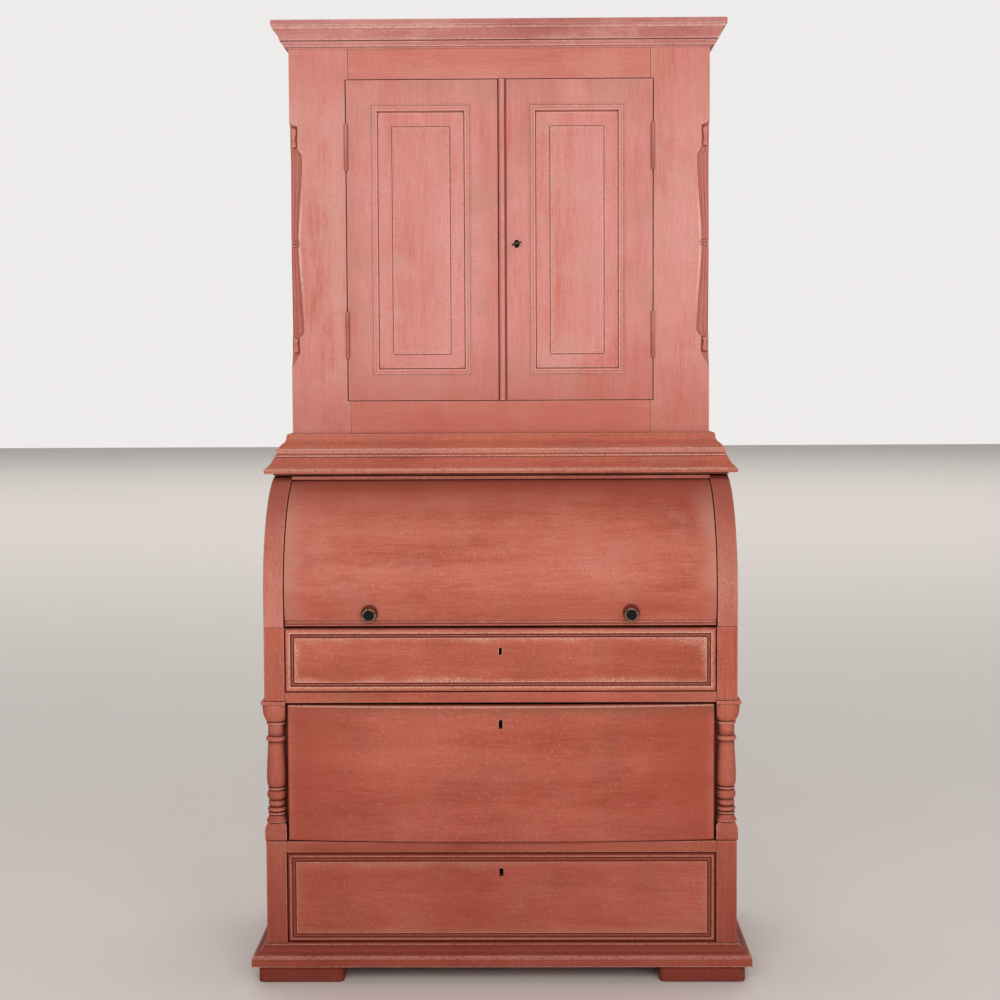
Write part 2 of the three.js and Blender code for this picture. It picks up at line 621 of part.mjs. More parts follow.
function cylinderFall() {
  const half = cheekInner - FALL_END_GAP;
  const shell = sidePrism(fallBand(fallInner, fallRadius, fallStart, FALL_TOP_ANGLE), -half, half);
  const lipAngle = fallStart + THREE.MathUtils.radToDeg(FALL_LIP_HEIGHT / fallRadius);
  const middle = (fallInner + fallRadius) / 2;
  const lip = sidePrism(fallBand(middle, fallRadius + FALL_LIP_PROUD, fallStart, lipAngle), -half, half);
  const bore = [[0, 0], [1, 0], [1, 1], [0, 1]].map(([radius, up]) => [
    radius * (KNOB_SPIGOT_RADIUS + SEAM),
    -KNOB_SPIGOT_LENGTH - SEAM + up * (KNOB_SPIGOT_LENGTH + OVERRUN),
  ]);
  let body = shell.add(lip);
  for (const side of [-1, 1]) {
    const cutter = ontoFall(turning(bore, COLUMN_SEGMENTS), (side * KNOB_SPACING) / 2, fallRadius);
    body = body.subtract(cutter);
  }
  return piece("cylinder_fall", body, redPaint());
}

function swingArm(side) {
  const outer = cheekInner - ARM_CHEEK_GAP;
  const plate = span(side, outer - ARM_HUB_LENGTH, outer - ARM_HUB_LENGTH + ARM_THICKNESS);
  const [from, to] = ARM_PAD_ANGLES;
  const padOuter = (fallInner - SEAM) * Math.cos(THREE.MathUtils.degToRad(FALL_STEP / 2));
  const padInner = padOuter - ARM_PAD_THICKNESS;
  const pad = sidePrism(fallBand(padInner, padOuter, from, to), ...plate);
  const middle = THREE.MathUtils.degToRad((from + to) / 2);
  const along = [-Math.cos(middle), Math.sin(middle)];
  const reach = padInner + ARM_PAD_THICKNESS / 2;
  const corner = (distance, offset) => [
    axisDepth + along[0] * distance - along[1] * offset,
    axisHeight + along[1] * distance + along[0] * offset,
  ];
  const half = ARM_WIDTH / 2;
  const bar = [corner(0, -half), corner(reach, -half), corner(reach, half), corner(0, half)];
  const hub = circle(axisDepth, axisHeight, ARM_HUB_RADIUS, COLUMN_SEGMENTS);
  const pin = circle(axisDepth, axisHeight, PIVOT_RADIUS, 16);
  const body = pad
    .add(sidePrism(bar, ...plate))
    .add(sidePrism(hub, ...span(side, outer - ARM_HUB_LENGTH, outer)))
    .add(sidePrism(pin, ...span(side, outer - ARM_HUB_LENGTH, cheekInner + PIVOT_LENGTH)));
  return piece(sideName(side) + "_fall_arm", body, darkIron());
}

function buildDesk() {
  const desk = new THREE.Group();
  desk.add(cheek(-1), cheek(1), topRail(), pigeonholes());
  const sweep = fallInner - FALL_SWEEP_GAP;
  const bedFront = axisDepth - Math.sqrt(sweep ** 2 - AXIS_RISE ** 2);
  const bedHalf = cheekInner - SEAM;
  const bedBottom = carcaseTop + SEAM;
  const bed = block([-bedHalf, bedHalf], [bedFront, backFace - SEAM], [bedBottom, bedBottom + BED_THICKNESS]);
  desk.add(piece("writing_bed", bed, rawPine()));
  const level = [crownHeight + SEAM, topBoardTop];
  const board = block([-halfWidth, halfWidth], [topBoardFront, BUREAU_DEPTH], level);
  desk.add(piece("bureau_top", board, redPaint()));
  desk.add(cylinderFall(), knob(-1), knob(1), swingArm(-1), swingArm(1));
  return desk;
}

// Drawers

function keyhole(across, top, [d0, d1]) {
  const eye = facePrism(circle(across, top - KEYHOLE_RADIUS, KEYHOLE_RADIUS, 12), d0, d1);
  const half = KEYHOLE_SLOT / 2;
  const slot = block([across - half, across + half], [d0, d1], [top - KEYHOLE_LENGTH, top - KEYHOLE_RADIUS]);
  return eye.add(slot);
}

// A flat drawer front with a bead sunk round its field
function beadedFront(half, [z0, z1], keyDrop) {
  const board = block([-half, half], [0, DRAWER_FRONT_THICKNESS], [z0, z1]);
  const bandAt = [[-half + BEAD_MARGIN, half - BEAD_MARGIN], [z0 + BEAD_MARGIN, z1 - BEAD_MARGIN]];
  const channel = [[0, -BEAD_SINK], [BEAD_BAND, -BEAD_SINK], [BEAD_BAND, OVERRUN], [0, OVERRUN]];
  const start = (BEAD_BAND - BEAD_WIDTH) / 2;
  const root = -BEAD_SINK - SEAM;
  const bead = beadShares.map(([in_, up]) => [start + in_ * BEAD_WIDTH, root + up * (BEAD_SINK + SEAM)]);
  return board
    .subtract(faceMoulding(...bandAt, 0, channel))
    .add(faceMoulding(...bandAt, 0, bead))
    .subtract(keyhole(0, z1 - keyDrop, [-OVERRUN, DRAWER_FRONT_THICKNESS + OVERRUN]));
}

// Depth points of the deep drawer's bow at a distance behind its face, from left to right
function bowLine(half, behind) {
  const reach = openingHalf - DEEP_DRAWER_SIDE_GAP;
  const radius = (reach ** 2 + DEEP_DRAWER_BOW ** 2) / (2 * DEEP_DRAWER_BOW);
  const centre = DEEP_DRAWER_CENTRE + radius;
  return Array.from({ length: BOW_SEGMENTS + 1 }, (_, i) => {
    const across = half * ((2 * i) / BOW_SEGMENTS - 1);
    return [across, centre - Math.sqrt((radius - behind) ** 2 - across ** 2)];
  });
}

// Sides, back and bottom of a drawer, open at the front where the front board closes it
function drawerBox(frontLine, half, [z0, z1]) {
  const outline = [...frontLine, [half, DRAWER_LENGTH], [-half, DRAWER_LENGTH]];
  const inner = half - DRAWER_SIDE;
  const depth = [-OVERRUN, DRAWER_LENGTH - DRAWER_SIDE];
  const room = block([-inner, inner], depth, [z0 + DRAWER_BOTTOM, z1 + OVERRUN]);
  return planPrism(outline, z0, z1).subtract(room);
}

function drawer(name, front, frontLine, half, [floor, ceiling]) {
  const group = new THREE.Group();
  const box = drawerBox(frontLine, half, [floor + RUNNER_GAP, ceiling - DRAWER_TOP_ROOM]);
  group.add(piece(name + "_front", front, redPaint()), piece(name + "_box", box, rawPine()));
  return group;
}

function buildDrawers() {
  const drawers = new THREE.Group();
  const half = openingHalf - DRAWER_SIDE_GAP;
  const flatLine = [[-half, DRAWER_FRONT_THICKNESS + SEAM], [half, DRAWER_FRONT_THICKNESS + SEAM]];
  const flats = [
    ["top_drawer", [upperRailTop, topDrawerCeiling], TOP_KEYHOLE_DROP],
    ["bottom_drawer", [bottomDrawerFloor, lowerRailBottom], BOTTOM_KEYHOLE_DROP],
  ];
  for (const [name, [floor, ceiling], keyDrop] of flats) {
    const front = beadedFront(half, [floor + DRAWER_EDGE_GAP, ceiling - DRAWER_EDGE_GAP], keyDrop);
    drawers.add(drawer(name, front, flatLine, half, [floor, ceiling]));
  }
  const bowHalf = openingHalf - DEEP_DRAWER_SIDE_GAP;
  const back = bowLine(bowHalf, DRAWER_FRONT_THICKNESS).reverse();
  const top = upperRailBottom - DEEP_DRAWER_TOP_GAP;
  const board = planPrism([...bowLine(bowHalf, 0), ...back], lowerRailTop + DRAWER_EDGE_GAP, top);
  const hole = keyhole(0, top - DEEP_KEYHOLE_DROP, [-OVERRUN, DRAWER_FRONT_THICKNESS + OVERRUN]);
  const boxLine = bowLine(bowHalf, DRAWER_FRONT_THICKNESS + SEAM);
  drawers.add(drawer("deep_drawer", board.subtract(hole), boxLine, bowHalf, [lowerRailTop, upperRailBottom]));
  return drawers;
}

// Cupboard carcase

// A cupboard stile with a stopped chamfer on its outer corner, where the carving sits
function cabinetStile(side) {
  const shoulder = doorwayHalf - STILE_SHOULDER;
  const body = block(
    span(side, shoulder, cabinetHalf),
    [cabinetFace, cabinetBehind],
    [topBoardTop + SEAM, cabinetTop],
  );
  const doorway = block(
    span(side, shoulder - OVERRUN, doorwayHalf),
    [cabinetFace - OVERRUN, cabinetBehind + OVERRUN],
    [doorwayBottom, doorwayTop],
  );
  const upper = cabinetTop - CHAMFER_TOP;
  const lower = upper - CHAMFER_LENGTH;
  const corner = [side * cabinetHalf, cabinetFace];
  const reach = CHAMFER_SIZE + OVERRUN;
  const outline = [
    [corner[0] - side * reach, corner[1] - OVERRUN],
    [corner[0] + side * OVERRUN, corner[1] - OVERRUN],
    [corner[0] + side * OVERRUN, corner[1] + reach],
  ];
  const stop = (height, lean) => {
    const cutter = new THREE.BoxGeometry(4 * reach, 4 * reach, CHAMFER_SIZE);
    cutter.translate(0, -2 * reach, 0).rotateX(lean);
    cutter.rotateZ((side * Math.PI) / 4).translate(corner[0], corner[1], height);
    return solidOf(cutter);
  };
  const tilt = Math.atan2(CHAMFER_RUNOUT, CHAMFER_SIZE / Math.SQRT2);
  const chamfer = planPrism(outline, lower, upper);
  const trimmed = chamfer
    .subtract(stop(upper + CHAMFER_SIZE / 2, tilt))
    .subtract(stop(lower - CHAMFER_SIZE / 2, -tilt));
  return piece(sideName(side) + "_cabinet_stile", body.subtract(doorway).subtract(trimmed), pinkPaint());
}

// The waist moulding, rebated to drop over the front and side edges of the bureau's top board
function waistMoulding() {
  const bottom = topBoardTop - WAIST_DROP;
  const profile = profileOf(waistShares, WAIST_PROJECTION, bottom, WAIST_HEIGHT).slice(0, -1);
  const rebate = cabinetFace - topBoardFront + SEAM;
  const sideRebate = halfWidth - cabinetHalf + SEAM;
  const ledge = topBoardTop + SEAM;
  const inner = Math.max(rebate, sideRebate);
  const section = [...profile, [SEAM, ledge], [inner, ledge], [inner, bottom]];
  return piece("waist_moulding", threeSidedMoulding(cabinetHalf, cabinetFace, section), redPaint());
}

function buildCabinet() {
  const cabinet = new THREE.Group();
  const low = topBoardTop + SEAM;
  const rail = doorwayHalf - STILE_SHOULDER - SEAM;
  const inner = cabinetInner - SEAM;
  const behind = cabinetBehind + SEAM;
  const rear = backFace - SEAM;
  const cabinetBlock = (name, x, depth, z, finish) => cabinet.add(piece(name, block(x, depth, z), finish()));
  for (const side of [-1, 1]) {
    cabinet.add(cabinetStile(side));
    const name = sideName(side) + "_cabinet_side";
    cabinetBlock(name, span(side, cabinetInner, cabinetHalf), [behind, rear], [low, cabinetTop], pinkPaint);
  }
  const front = [cabinetFace, cabinetBehind];
  cabinetBlock("cabinet_top_rail", [-rail, rail], front, [doorwayTop, cabinetTop], pinkPaint);
  cabinetBlock("cabinet_bottom_rail", [-rail, rail], front, [low, doorwayBottom], pinkPaint);
  const topBoard = cabinetTop - CABINET_TOP_DROP;
  cabinetBlock("cabinet_top", [-inner, inner], [behind, rear], [topBoard - CABINET_BOARD, topBoard], rawPine);
  const floor = [doorwayBottom - CABINET_BOARD, doorwayBottom];
  cabinetBlock("cabinet_floor", [-inner, inner], [behind, rear], floor, rawPine);
  const backHalf = cabinetHalf - BACK_INSET;
  cabinetBlock("cabinet_back", [-backHalf, backHalf], [backFace, BUREAU_DEPTH], [low, cabinetTop], rawPine);
  const shelfFront = cabinetFace + SHELF_RECESS;
  const headroom = topBoard - CABINET_BOARD - doorwayBottom;
  const bay = (headroom - SHELF_COUNT * SHELF_THICKNESS) / (SHELF_COUNT + 1);
  for (let i = 0; i < SHELF_COUNT; i += 1) {
    const bottom = doorwayBottom + (i + 1) * bay + i * SHELF_THICKNESS;
    const name = i === 0 ? "lower_shelf" : "upper_shelf";
    cabinetBlock(name, [-inner, inner], [shelfFront, rear], [bottom, bottom + SHELF_THICKNESS], rawPine);
  }
  cabinet.add(waistMoulding());
  const cornice = profileOf(corniceShares, CORNICE_PROJECTION, cabinetTop - CORNICE_LAP, CORNICE_HEIGHT);
  cabinet.add(piece("cornice", threeSidedMoulding(cabinetHalf, cabinetFace, cornice), pinkPaint()));
  return cabinet;
}

// Cupboard doors

const doorBottom = doorwayBottom + DOOR_GAP;
const doorTop = doorwayTop - DOOR_GAP;
const doorEdge = doorwayHalf - DOOR_HINGE_GAP;
const keyHeight = doorwayBottom + KEY_HEIGHT;
const hingeCentres = [doorwayBottom + HINGE_INSETS[0], doorwayTop - HINGE_INSETS[1]];

// The rectangle inside a door's stiles and rails, drawn in by a margin on every side
function doorRect([x0, x1], [leftStile, rightStile], margin) {
  const across = [x0 + leftStile + margin, x1 - rightStile - margin];
  const height = [doorBottom + DOOR_RAILS[0] + margin, doorTop - DOOR_RAILS[1] - margin];
  return [across, height];
}

function doorFrame(name, ends, stiles) {
  const [across, height] = doorRect(ends, stiles, PANEL_MOULDING);
  const [grooveAcross, grooveHeight] = doorRect(ends, stiles, PANEL_MOULDING - GROOVE_DEPTH);
  const middle = doorFace + PANEL_SINK + PANEL_THICKNESS / 2;
  const half = TONGUE_THICKNESS / 2 + SEAM;
  const opening = block(across, [doorFace - OVERRUN, doorBack + OVERRUN], height);
  const slope = bevelledBlock(across, [doorFace - SEAM, doorFace + MOULDING_DEPTH], height, PANEL_MOULDING);
  const groove = block(grooveAcross, [middle - half, middle + half], grooveHeight);
  const body = block(ends, [doorFace, doorBack], [doorBottom, doorTop]);
  return body.subtract(opening).subtract(slope).subtract(groove);
}

function doorPanel(name, ends, stiles) {
  const face = doorFace + PANEL_SINK;
  const middle = face + PANEL_THICKNESS / 2;
  const half = TONGUE_THICKNESS / 2;
  const [across, height] = doorRect(ends, stiles, PANEL_MOULDING + SEAM);
  const [tongueAcross, tongueHeight] = doorRect(ends, stiles, PANEL_MOULDING - TONGUE_LENGTH);
  const [fieldAcross, fieldHeight] = doorRect(ends, stiles, PANEL_MOULDING + FIELD_BORDER);
  const body = block(across, [face, face + PANEL_THICKNESS], height)
    .add(block(tongueAcross, [middle - half, middle + half], tongueHeight))
    .add(bevelledBlock(fieldAcross, [face - FIELD_RISE, face + FIELD_RISE], fieldHeight, -FIELD_BEVEL));
  return piece(name, body, pinkPaint());
}

// Half of a lift-off hinge: its leaf lies in the joint, and the fixed half carries the pin
function hingeHalf(name, side, centre, fixed) {
  const axis = side * hingeAcross;
  const [z0, z1] = fixed ? [centre - HINGE_HEIGHT / 2, centre - SEAM] : [centre, centre + HINGE_HEIGHT / 2];
  const towards = fixed ? side : -side;
  const leafNear = axis + towards * HINGE_LEAF_GAP;
  const leafFar = axis + towards * (HINGE_LEAF_GAP + HINGE_LEAF);
  const leafSpan = [Math.min(leafNear, leafFar), Math.max(leafNear, leafFar)];
  const leaf = block(leafSpan, [hingeDepth, hingeDepth + HINGE_BARREL + HINGE_LEAF_DEPTH], [z0, z1]);
  const rod = (radius, from, to) => {
    const outline = circle(axis, hingeDepth, radius, 12);
    return planPrism(outline, from, to);
  };
  const barrel = leaf.add(rod(HINGE_BARREL, z0, z1));
  const pinTop = centre + HINGE_HEIGHT / 4;
  const body = fixed
    ? barrel.add(rod(HINGE_PIN, z0, pinTop))
    : barrel.subtract(rod(HINGE_PIN + PIVOT_GAP, z0 - OVERRUN, pinTop + SEAM));
  return piece(name, body, darkIron());
}

function meetingBead(left) {
  const right = left + MEETING_BEAD_WIDTH;
  const proud = doorFace - SEAM;
  const outline = beadShares.map(([across, rise]) => [
    left + across * MEETING_BEAD_WIDTH,
    proud - rise * MEETING_BEAD_PROUD,
  ]);
  outline.push([right, proud]);
  outline.push([left, proud]);
  const unique = outline.slice(1, -2);
  const body = planPrism([[left, proud], ...unique, [right, proud]], doorBottom, doorTop);
  return piece("meeting_bead", body, pinkPaint());
}

function cabinetKey() {
  const bowDepth = doorFace - KEY_REACH;
  const oval = (share) =>
    circle(0, 0, 1, COLUMN_SEGMENTS).map(([u, v]) => [
      bowDepth + (u * share * KEY_BOW_HEIGHT) / 2,
      (v * share * KEY_BOW_WIDTH) / 2,
    ]);
  const bowHalf = KEY_BOW_THICKNESS / 2;
  const bow = sidePrism(oval(1), -bowHalf, bowHalf)
    .subtract(sidePrism(oval(KEY_BOW_HOLE_SHARE), -bowHalf - OVERRUN, bowHalf + OVERRUN));
  const shankStart = bowDepth + (KEY_BOW_HEIGHT * (1 + KEY_BOW_HOLE_SHARE)) / 4;
  const shank = facePrism(circle(0, 0, KEY_SHANK, 12), shankStart, doorFace + KEY_INSERT);
  const turned = bow.rotate([0, KEY_TURN, 0]).add(shank);
  return piece("cabinet_key", turned.translate([KEY_ACROSS, 0, keyHeight]), darkIron());
}

function buildDoors() {
  const doors = new THREE.Group();
  const rightEdge = MEETING_LINE + MEETING_GAP / 2;
  const leaves = [
    ["left_door", -1, [-doorEdge, MEETING_LINE - MEETING_GAP / 2], LEFT_DOOR_STILES],
    ["right_door", 1, [rightEdge, doorEdge], RIGHT_DOOR_STILES],
  ];
  for (const [name, side, ends, stiles] of leaves) {
    const frame = doorFrame(name + "_frame", ends, stiles);
    const oval = circle(0, 0, 1, COLUMN_SEGMENTS).map(([u, v]) => [
      KEY_ACROSS + (u * KEY_HOLE_WIDTH) / 2,
      keyHeight + (v * KEY_HOLE_HEIGHT) / 2,
    ]);
    const bore = facePrism(oval, doorFace - OVERRUN, doorBack + OVERRUN);
    doors.add(piece(name + "_frame", side > 0 ? frame.subtract(bore) : frame, pinkPaint()));
    doors.add(doorPanel(name + "_panel", ends, stiles));
    hingeCentres.forEach((centre, i) => {
      const label = (i === 0 ? "lower_" : "upper_") + sideName(side);
      doors.add(hingeHalf(label + "_hinge_pin_leaf", side, centre, true));
      doors.add(hingeHalf(label + "_hinge_door_leaf", side, centre, false));
    });
  }
  doors.add(meetingBead(rightEdge), cabinetKey());
  const lockHalf = LOCK_WIDTH / 2;
  const lock = block(
    [KEY_ACROSS - lockHalf, KEY_ACROSS + lockHalf],
    [doorBack + SEAM, doorBack + LOCK_DEPTH],
    [keyHeight - LOCK_HEIGHT / 2, keyHeight + LOCK_HEIGHT / 2],
  );
  const lockBore = circle(KEY_ACROSS, keyHeight, KEY_SHANK + PIVOT_GAP, 12);
  const bored = lock.subtract(facePrism(lockBore, doorBack - OVERRUN, doorBack + OVERRUN));
  doors.add(piece("cabinet_lock", bored, darkIron()));
  return doors;
}

const bookcase = new THREE.Group();
bookcase.name = "bureau_bookcase";
const standing = new THREE.Group();
standing.position.y = PLINTH_PROJECTION - outlineDepth / 2;
standing.add(buildBase(), buildDesk(), buildDrawers(), buildCabinet(), buildDoors());
bookcase.add(standing);

export default bookcase;
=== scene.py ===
"""Painted pine bureau bookcase: the visible surfaces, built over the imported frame."""

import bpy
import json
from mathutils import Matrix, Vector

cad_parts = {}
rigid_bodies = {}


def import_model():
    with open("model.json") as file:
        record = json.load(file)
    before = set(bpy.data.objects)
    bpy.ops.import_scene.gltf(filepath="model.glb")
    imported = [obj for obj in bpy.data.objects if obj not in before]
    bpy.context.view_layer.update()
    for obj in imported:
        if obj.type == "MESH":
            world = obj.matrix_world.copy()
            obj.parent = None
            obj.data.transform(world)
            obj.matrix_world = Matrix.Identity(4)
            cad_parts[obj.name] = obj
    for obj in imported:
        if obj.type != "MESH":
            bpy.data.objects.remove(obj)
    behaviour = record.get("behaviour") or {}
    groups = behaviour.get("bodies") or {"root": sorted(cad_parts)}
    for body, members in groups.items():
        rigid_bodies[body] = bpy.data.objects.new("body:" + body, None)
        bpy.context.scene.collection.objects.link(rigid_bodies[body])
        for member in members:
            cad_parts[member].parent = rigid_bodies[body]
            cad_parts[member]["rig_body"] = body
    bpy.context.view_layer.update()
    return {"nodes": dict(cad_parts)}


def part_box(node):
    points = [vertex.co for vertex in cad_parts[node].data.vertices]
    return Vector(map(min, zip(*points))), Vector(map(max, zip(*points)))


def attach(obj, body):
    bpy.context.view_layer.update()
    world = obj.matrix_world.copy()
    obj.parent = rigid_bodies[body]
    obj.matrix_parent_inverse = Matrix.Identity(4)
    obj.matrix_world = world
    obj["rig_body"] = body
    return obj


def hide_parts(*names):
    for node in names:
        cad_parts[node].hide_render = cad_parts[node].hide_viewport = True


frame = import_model()

import json
import logging
import math
from dataclasses import dataclass, field, replace
from enum import Enum
from typing import Callable, Iterable, Optional, Sequence

import bmesh
import bpy
import numpy as np
from mathutils import Matrix, Vector

MM = 0.001
JOIN_DISTANCE = 2e-5  # metres: closer points become one
FLAT_ANGLE = math.radians(0.4)  # faces that turn less become one
ARRIS_ANGLE = math.radians(38)  # edges that turn more get a rounded arris
SIDEWAYS = 0.7  # sideways part of a normal that makes a face a side
ALONG_GRAIN = 0.07  # scale of the noise along the grain
NODE_SHIFT = 0.731  # metres by which one node's noise is moved from the next
NODE_SHIFTS = 97

log = logging.getLogger("bookcase")

Point = tuple[float, float, float]
Pair = tuple[float, float]
Colour = tuple[float, ...]
Socket = bpy.types.NodeSocket
Tone = Callable[[np.ndarray], np.ndarray]


class Axis(Enum):
    """Direction of the wood's grain, of a run or of the brush strokes."""

    ACROSS = 0
    DEPTH = 1
    UP = 2


class Side(Enum):
    """Left or right of someone facing the front."""

    LEFT = -1
    RIGHT = 1

    @property
    def word(self) -> str:
        """The side's name as the nodes use it."""
        return self.name.lower()


def tint(colour: Colour) -> Colour:
    """Turn a display colour into the linear colour that shaders use.

    Args:
        colour: Red, green and blue from 0 to 255, or a linear colour with its alpha.

    Returns:
        The linear colour with its alpha.
    """
    if len(colour) == 4:
        return colour
    shares = [value / 255 for value in colour]
    return (*(s / 12.92 if s <= 0.04045 else ((s + 0.055) / 1.055) ** 2.4 for s in shares), 1.0)


# Finishes


class Graph:
    """Adds and links shader nodes."""

    def __init__(self, tree: bpy.types.NodeTree) -> None:
        """Empty a node tree and keep it."""
        self.tree = tree
        tree.nodes.clear()

    def node(self, kind: str, inputs: Optional[dict] = None, **settings: object) -> bpy.types.Node:
        """Add a node.

        Args:
            kind: Blender's identifier of the node, without its first word.
            inputs: Socket name or index to a number, a colour or an output to link.
            **settings: Properties of the node itself.

        Returns:
            The new node.
        """
        made = self.tree.nodes.new(f"ShaderNode{kind}")
        for key, value in settings.items():
            setattr(made, key, value)
        for key, value in (inputs or {}).items():
            if isinstance(value, Socket):
                self.tree.links.new(value, made.inputs[key])
            else:
                made.inputs[key].default_value = tint(value) if isinstance(value, tuple) else value
        return made

    def math(self, operation: str, *values: object) -> Socket:
        """Combine numbers."""
        return self.node("Math", dict(enumerate(values)), operation=operation).outputs[0]

    def vector(self, operation: str, *values: Socket) -> bpy.types.Node:
        """Combine vectors and return the node."""
        return self.node("VectorMath", dict(enumerate(values)), operation=operation)

    def plus(self, first: object, second: object) -> Socket:
        """Add two numbers."""
        return self.math("ADD", first, second)

    def times(self, first: object, *others: object) -> Socket:
        """Multiply numbers.

        Args:
            first: A number or an output.
            *others: What it is multiplied by.

        Returns:
            The product.
        """
        for other in others:
            first = self.math("MULTIPLY", first, other)
        return first

    def place(self) -> Socket:
        """Position on the object."""
        return self.node("TexCoord").outputs["Object"]

    def stored(self, name: str) -> Socket:
        """A vector stored on the mesh."""
        return self.node("Attribute", attribute_name=name).outputs["Vector"]

    def parts(self, vector: Socket) -> Sequence[Socket]:
        """The three parts of a vector."""
        return self.node("SeparateXYZ", {0: vector}).outputs

    def noise(self, place: Socket, scale: float, detail: float = 3.0, rough: float = 0.55) -> Socket:
        """Read a noise value between 0 and 1."""
        inputs = {"Vector": place, "Scale": scale, "Detail": detail, "Roughness": rough}
        return self.node("TexNoise", inputs).outputs[0]

    def step(self, value: Socket, low: float, high: float) -> Socket:
        """Ease a value from 0 at low to 1 at high."""
        inputs = {"Value": value, "From Min": low, "From Max": high, "To Min": 0.0, "To Max": 1.0}
        return self.node("MapRange", inputs, interpolation_type="SMOOTHSTEP").outputs[0]

    def mix(self, first: object, second: object, *shares: object) -> Socket:
        """Blend a colour into another by the product of some shares."""
        return self.node("Mix", {0: self.times(*shares), 6: first, 7: second}, data_type="RGBA").outputs[2]

    def ramp(self, value: Socket, stops: Sequence[tuple[float, Colour]]) -> Socket:
        """Turn a value into a colour along a row of stops.

        Args:
            value: The value to read.
            stops: Places and their colours.

        Returns:
            The colour.
        """
        made = self.node("ValToRGB", {0: value})
        elements = made.color_ramp.elements
        while len(elements) < len(stops):
            elements.new(1.0)
        for element, (place, colour) in zip(elements, stops):
            element.position, element.color = place, tint(colour)
        return made.outputs[0]

    def open_air(self, distance: float, samples: int) -> Socket:
        """Share of open space within a distance."""
        return self.node("AmbientOcclusion", {"Distance": distance}, samples=samples).outputs["AO"]

    def edge_turn(self, radius: float, samples: int) -> Socket:
        """How far the surface turns within a radius, 0 on flat faces.

        Args:
            radius: Radius in metres.
            samples: Samples of the rounded normal.

        Returns:
            The turn.
        """
        normal = self.node("NewGeometry").outputs["Normal"]
        rounded = self.node("Bevel", {"Radius": radius}, samples=samples).outputs[0]
        return self.math("SUBTRACT", 1.0, self.vector("DOT_PRODUCT", rounded, normal).outputs[1])

    def surface(
        self, colour: Socket, rough: Pair, height: Socket, bump: Pair, grit: Socket, **gloss: float
    ) -> bpy.types.Node:
        """Shade a bumped surface.

        Args:
            colour: Its colour.
            rough: Its roughness, and how much the grit adds.
            height: Height of its bumps.
            bump: Strength and distance of the bumps.
            grit: Noise that the roughness follows.
            **gloss: Metallic and Specular_IOR_Level, where they differ from the shader's own.

        Returns:
            The shader.
        """
        relief = self.node("Bump", {"Height": height, "Strength": bump[0], "Distance": bump[1]})
        inputs = {"Base Color": colour, "Roughness": self.plus(rough[0], self.times(grit, rough[1]))}
        inputs |= {"Normal": relief.outputs[0]}
        inputs |= {name.replace("_", " "): value for name, value in gloss.items()}
        return self.node("BsdfPrincipled", inputs)


@dataclass(frozen=True)
class Finish:
    """A surface finish that builds its material once."""

    name: str
    slot: str

    def draw(self, graph: Graph) -> bpy.types.Node:
        """Add the finish's nodes and return its shader."""
        raise NotImplementedError

    def material(self) -> bpy.types.Material:
        """Find or make the finish's material.

        Returns:
            The material, made at its first use.
        """
        made = bpy.data.materials.get(self.name)
        if made is None:
            made = bpy.data.materials.new(self.name)
            made.use_nodes = True
            graph = Graph(made.node_tree)
            graph.node("OutputMaterial", {"Surface": self.draw(graph).outputs[0]})
        return made


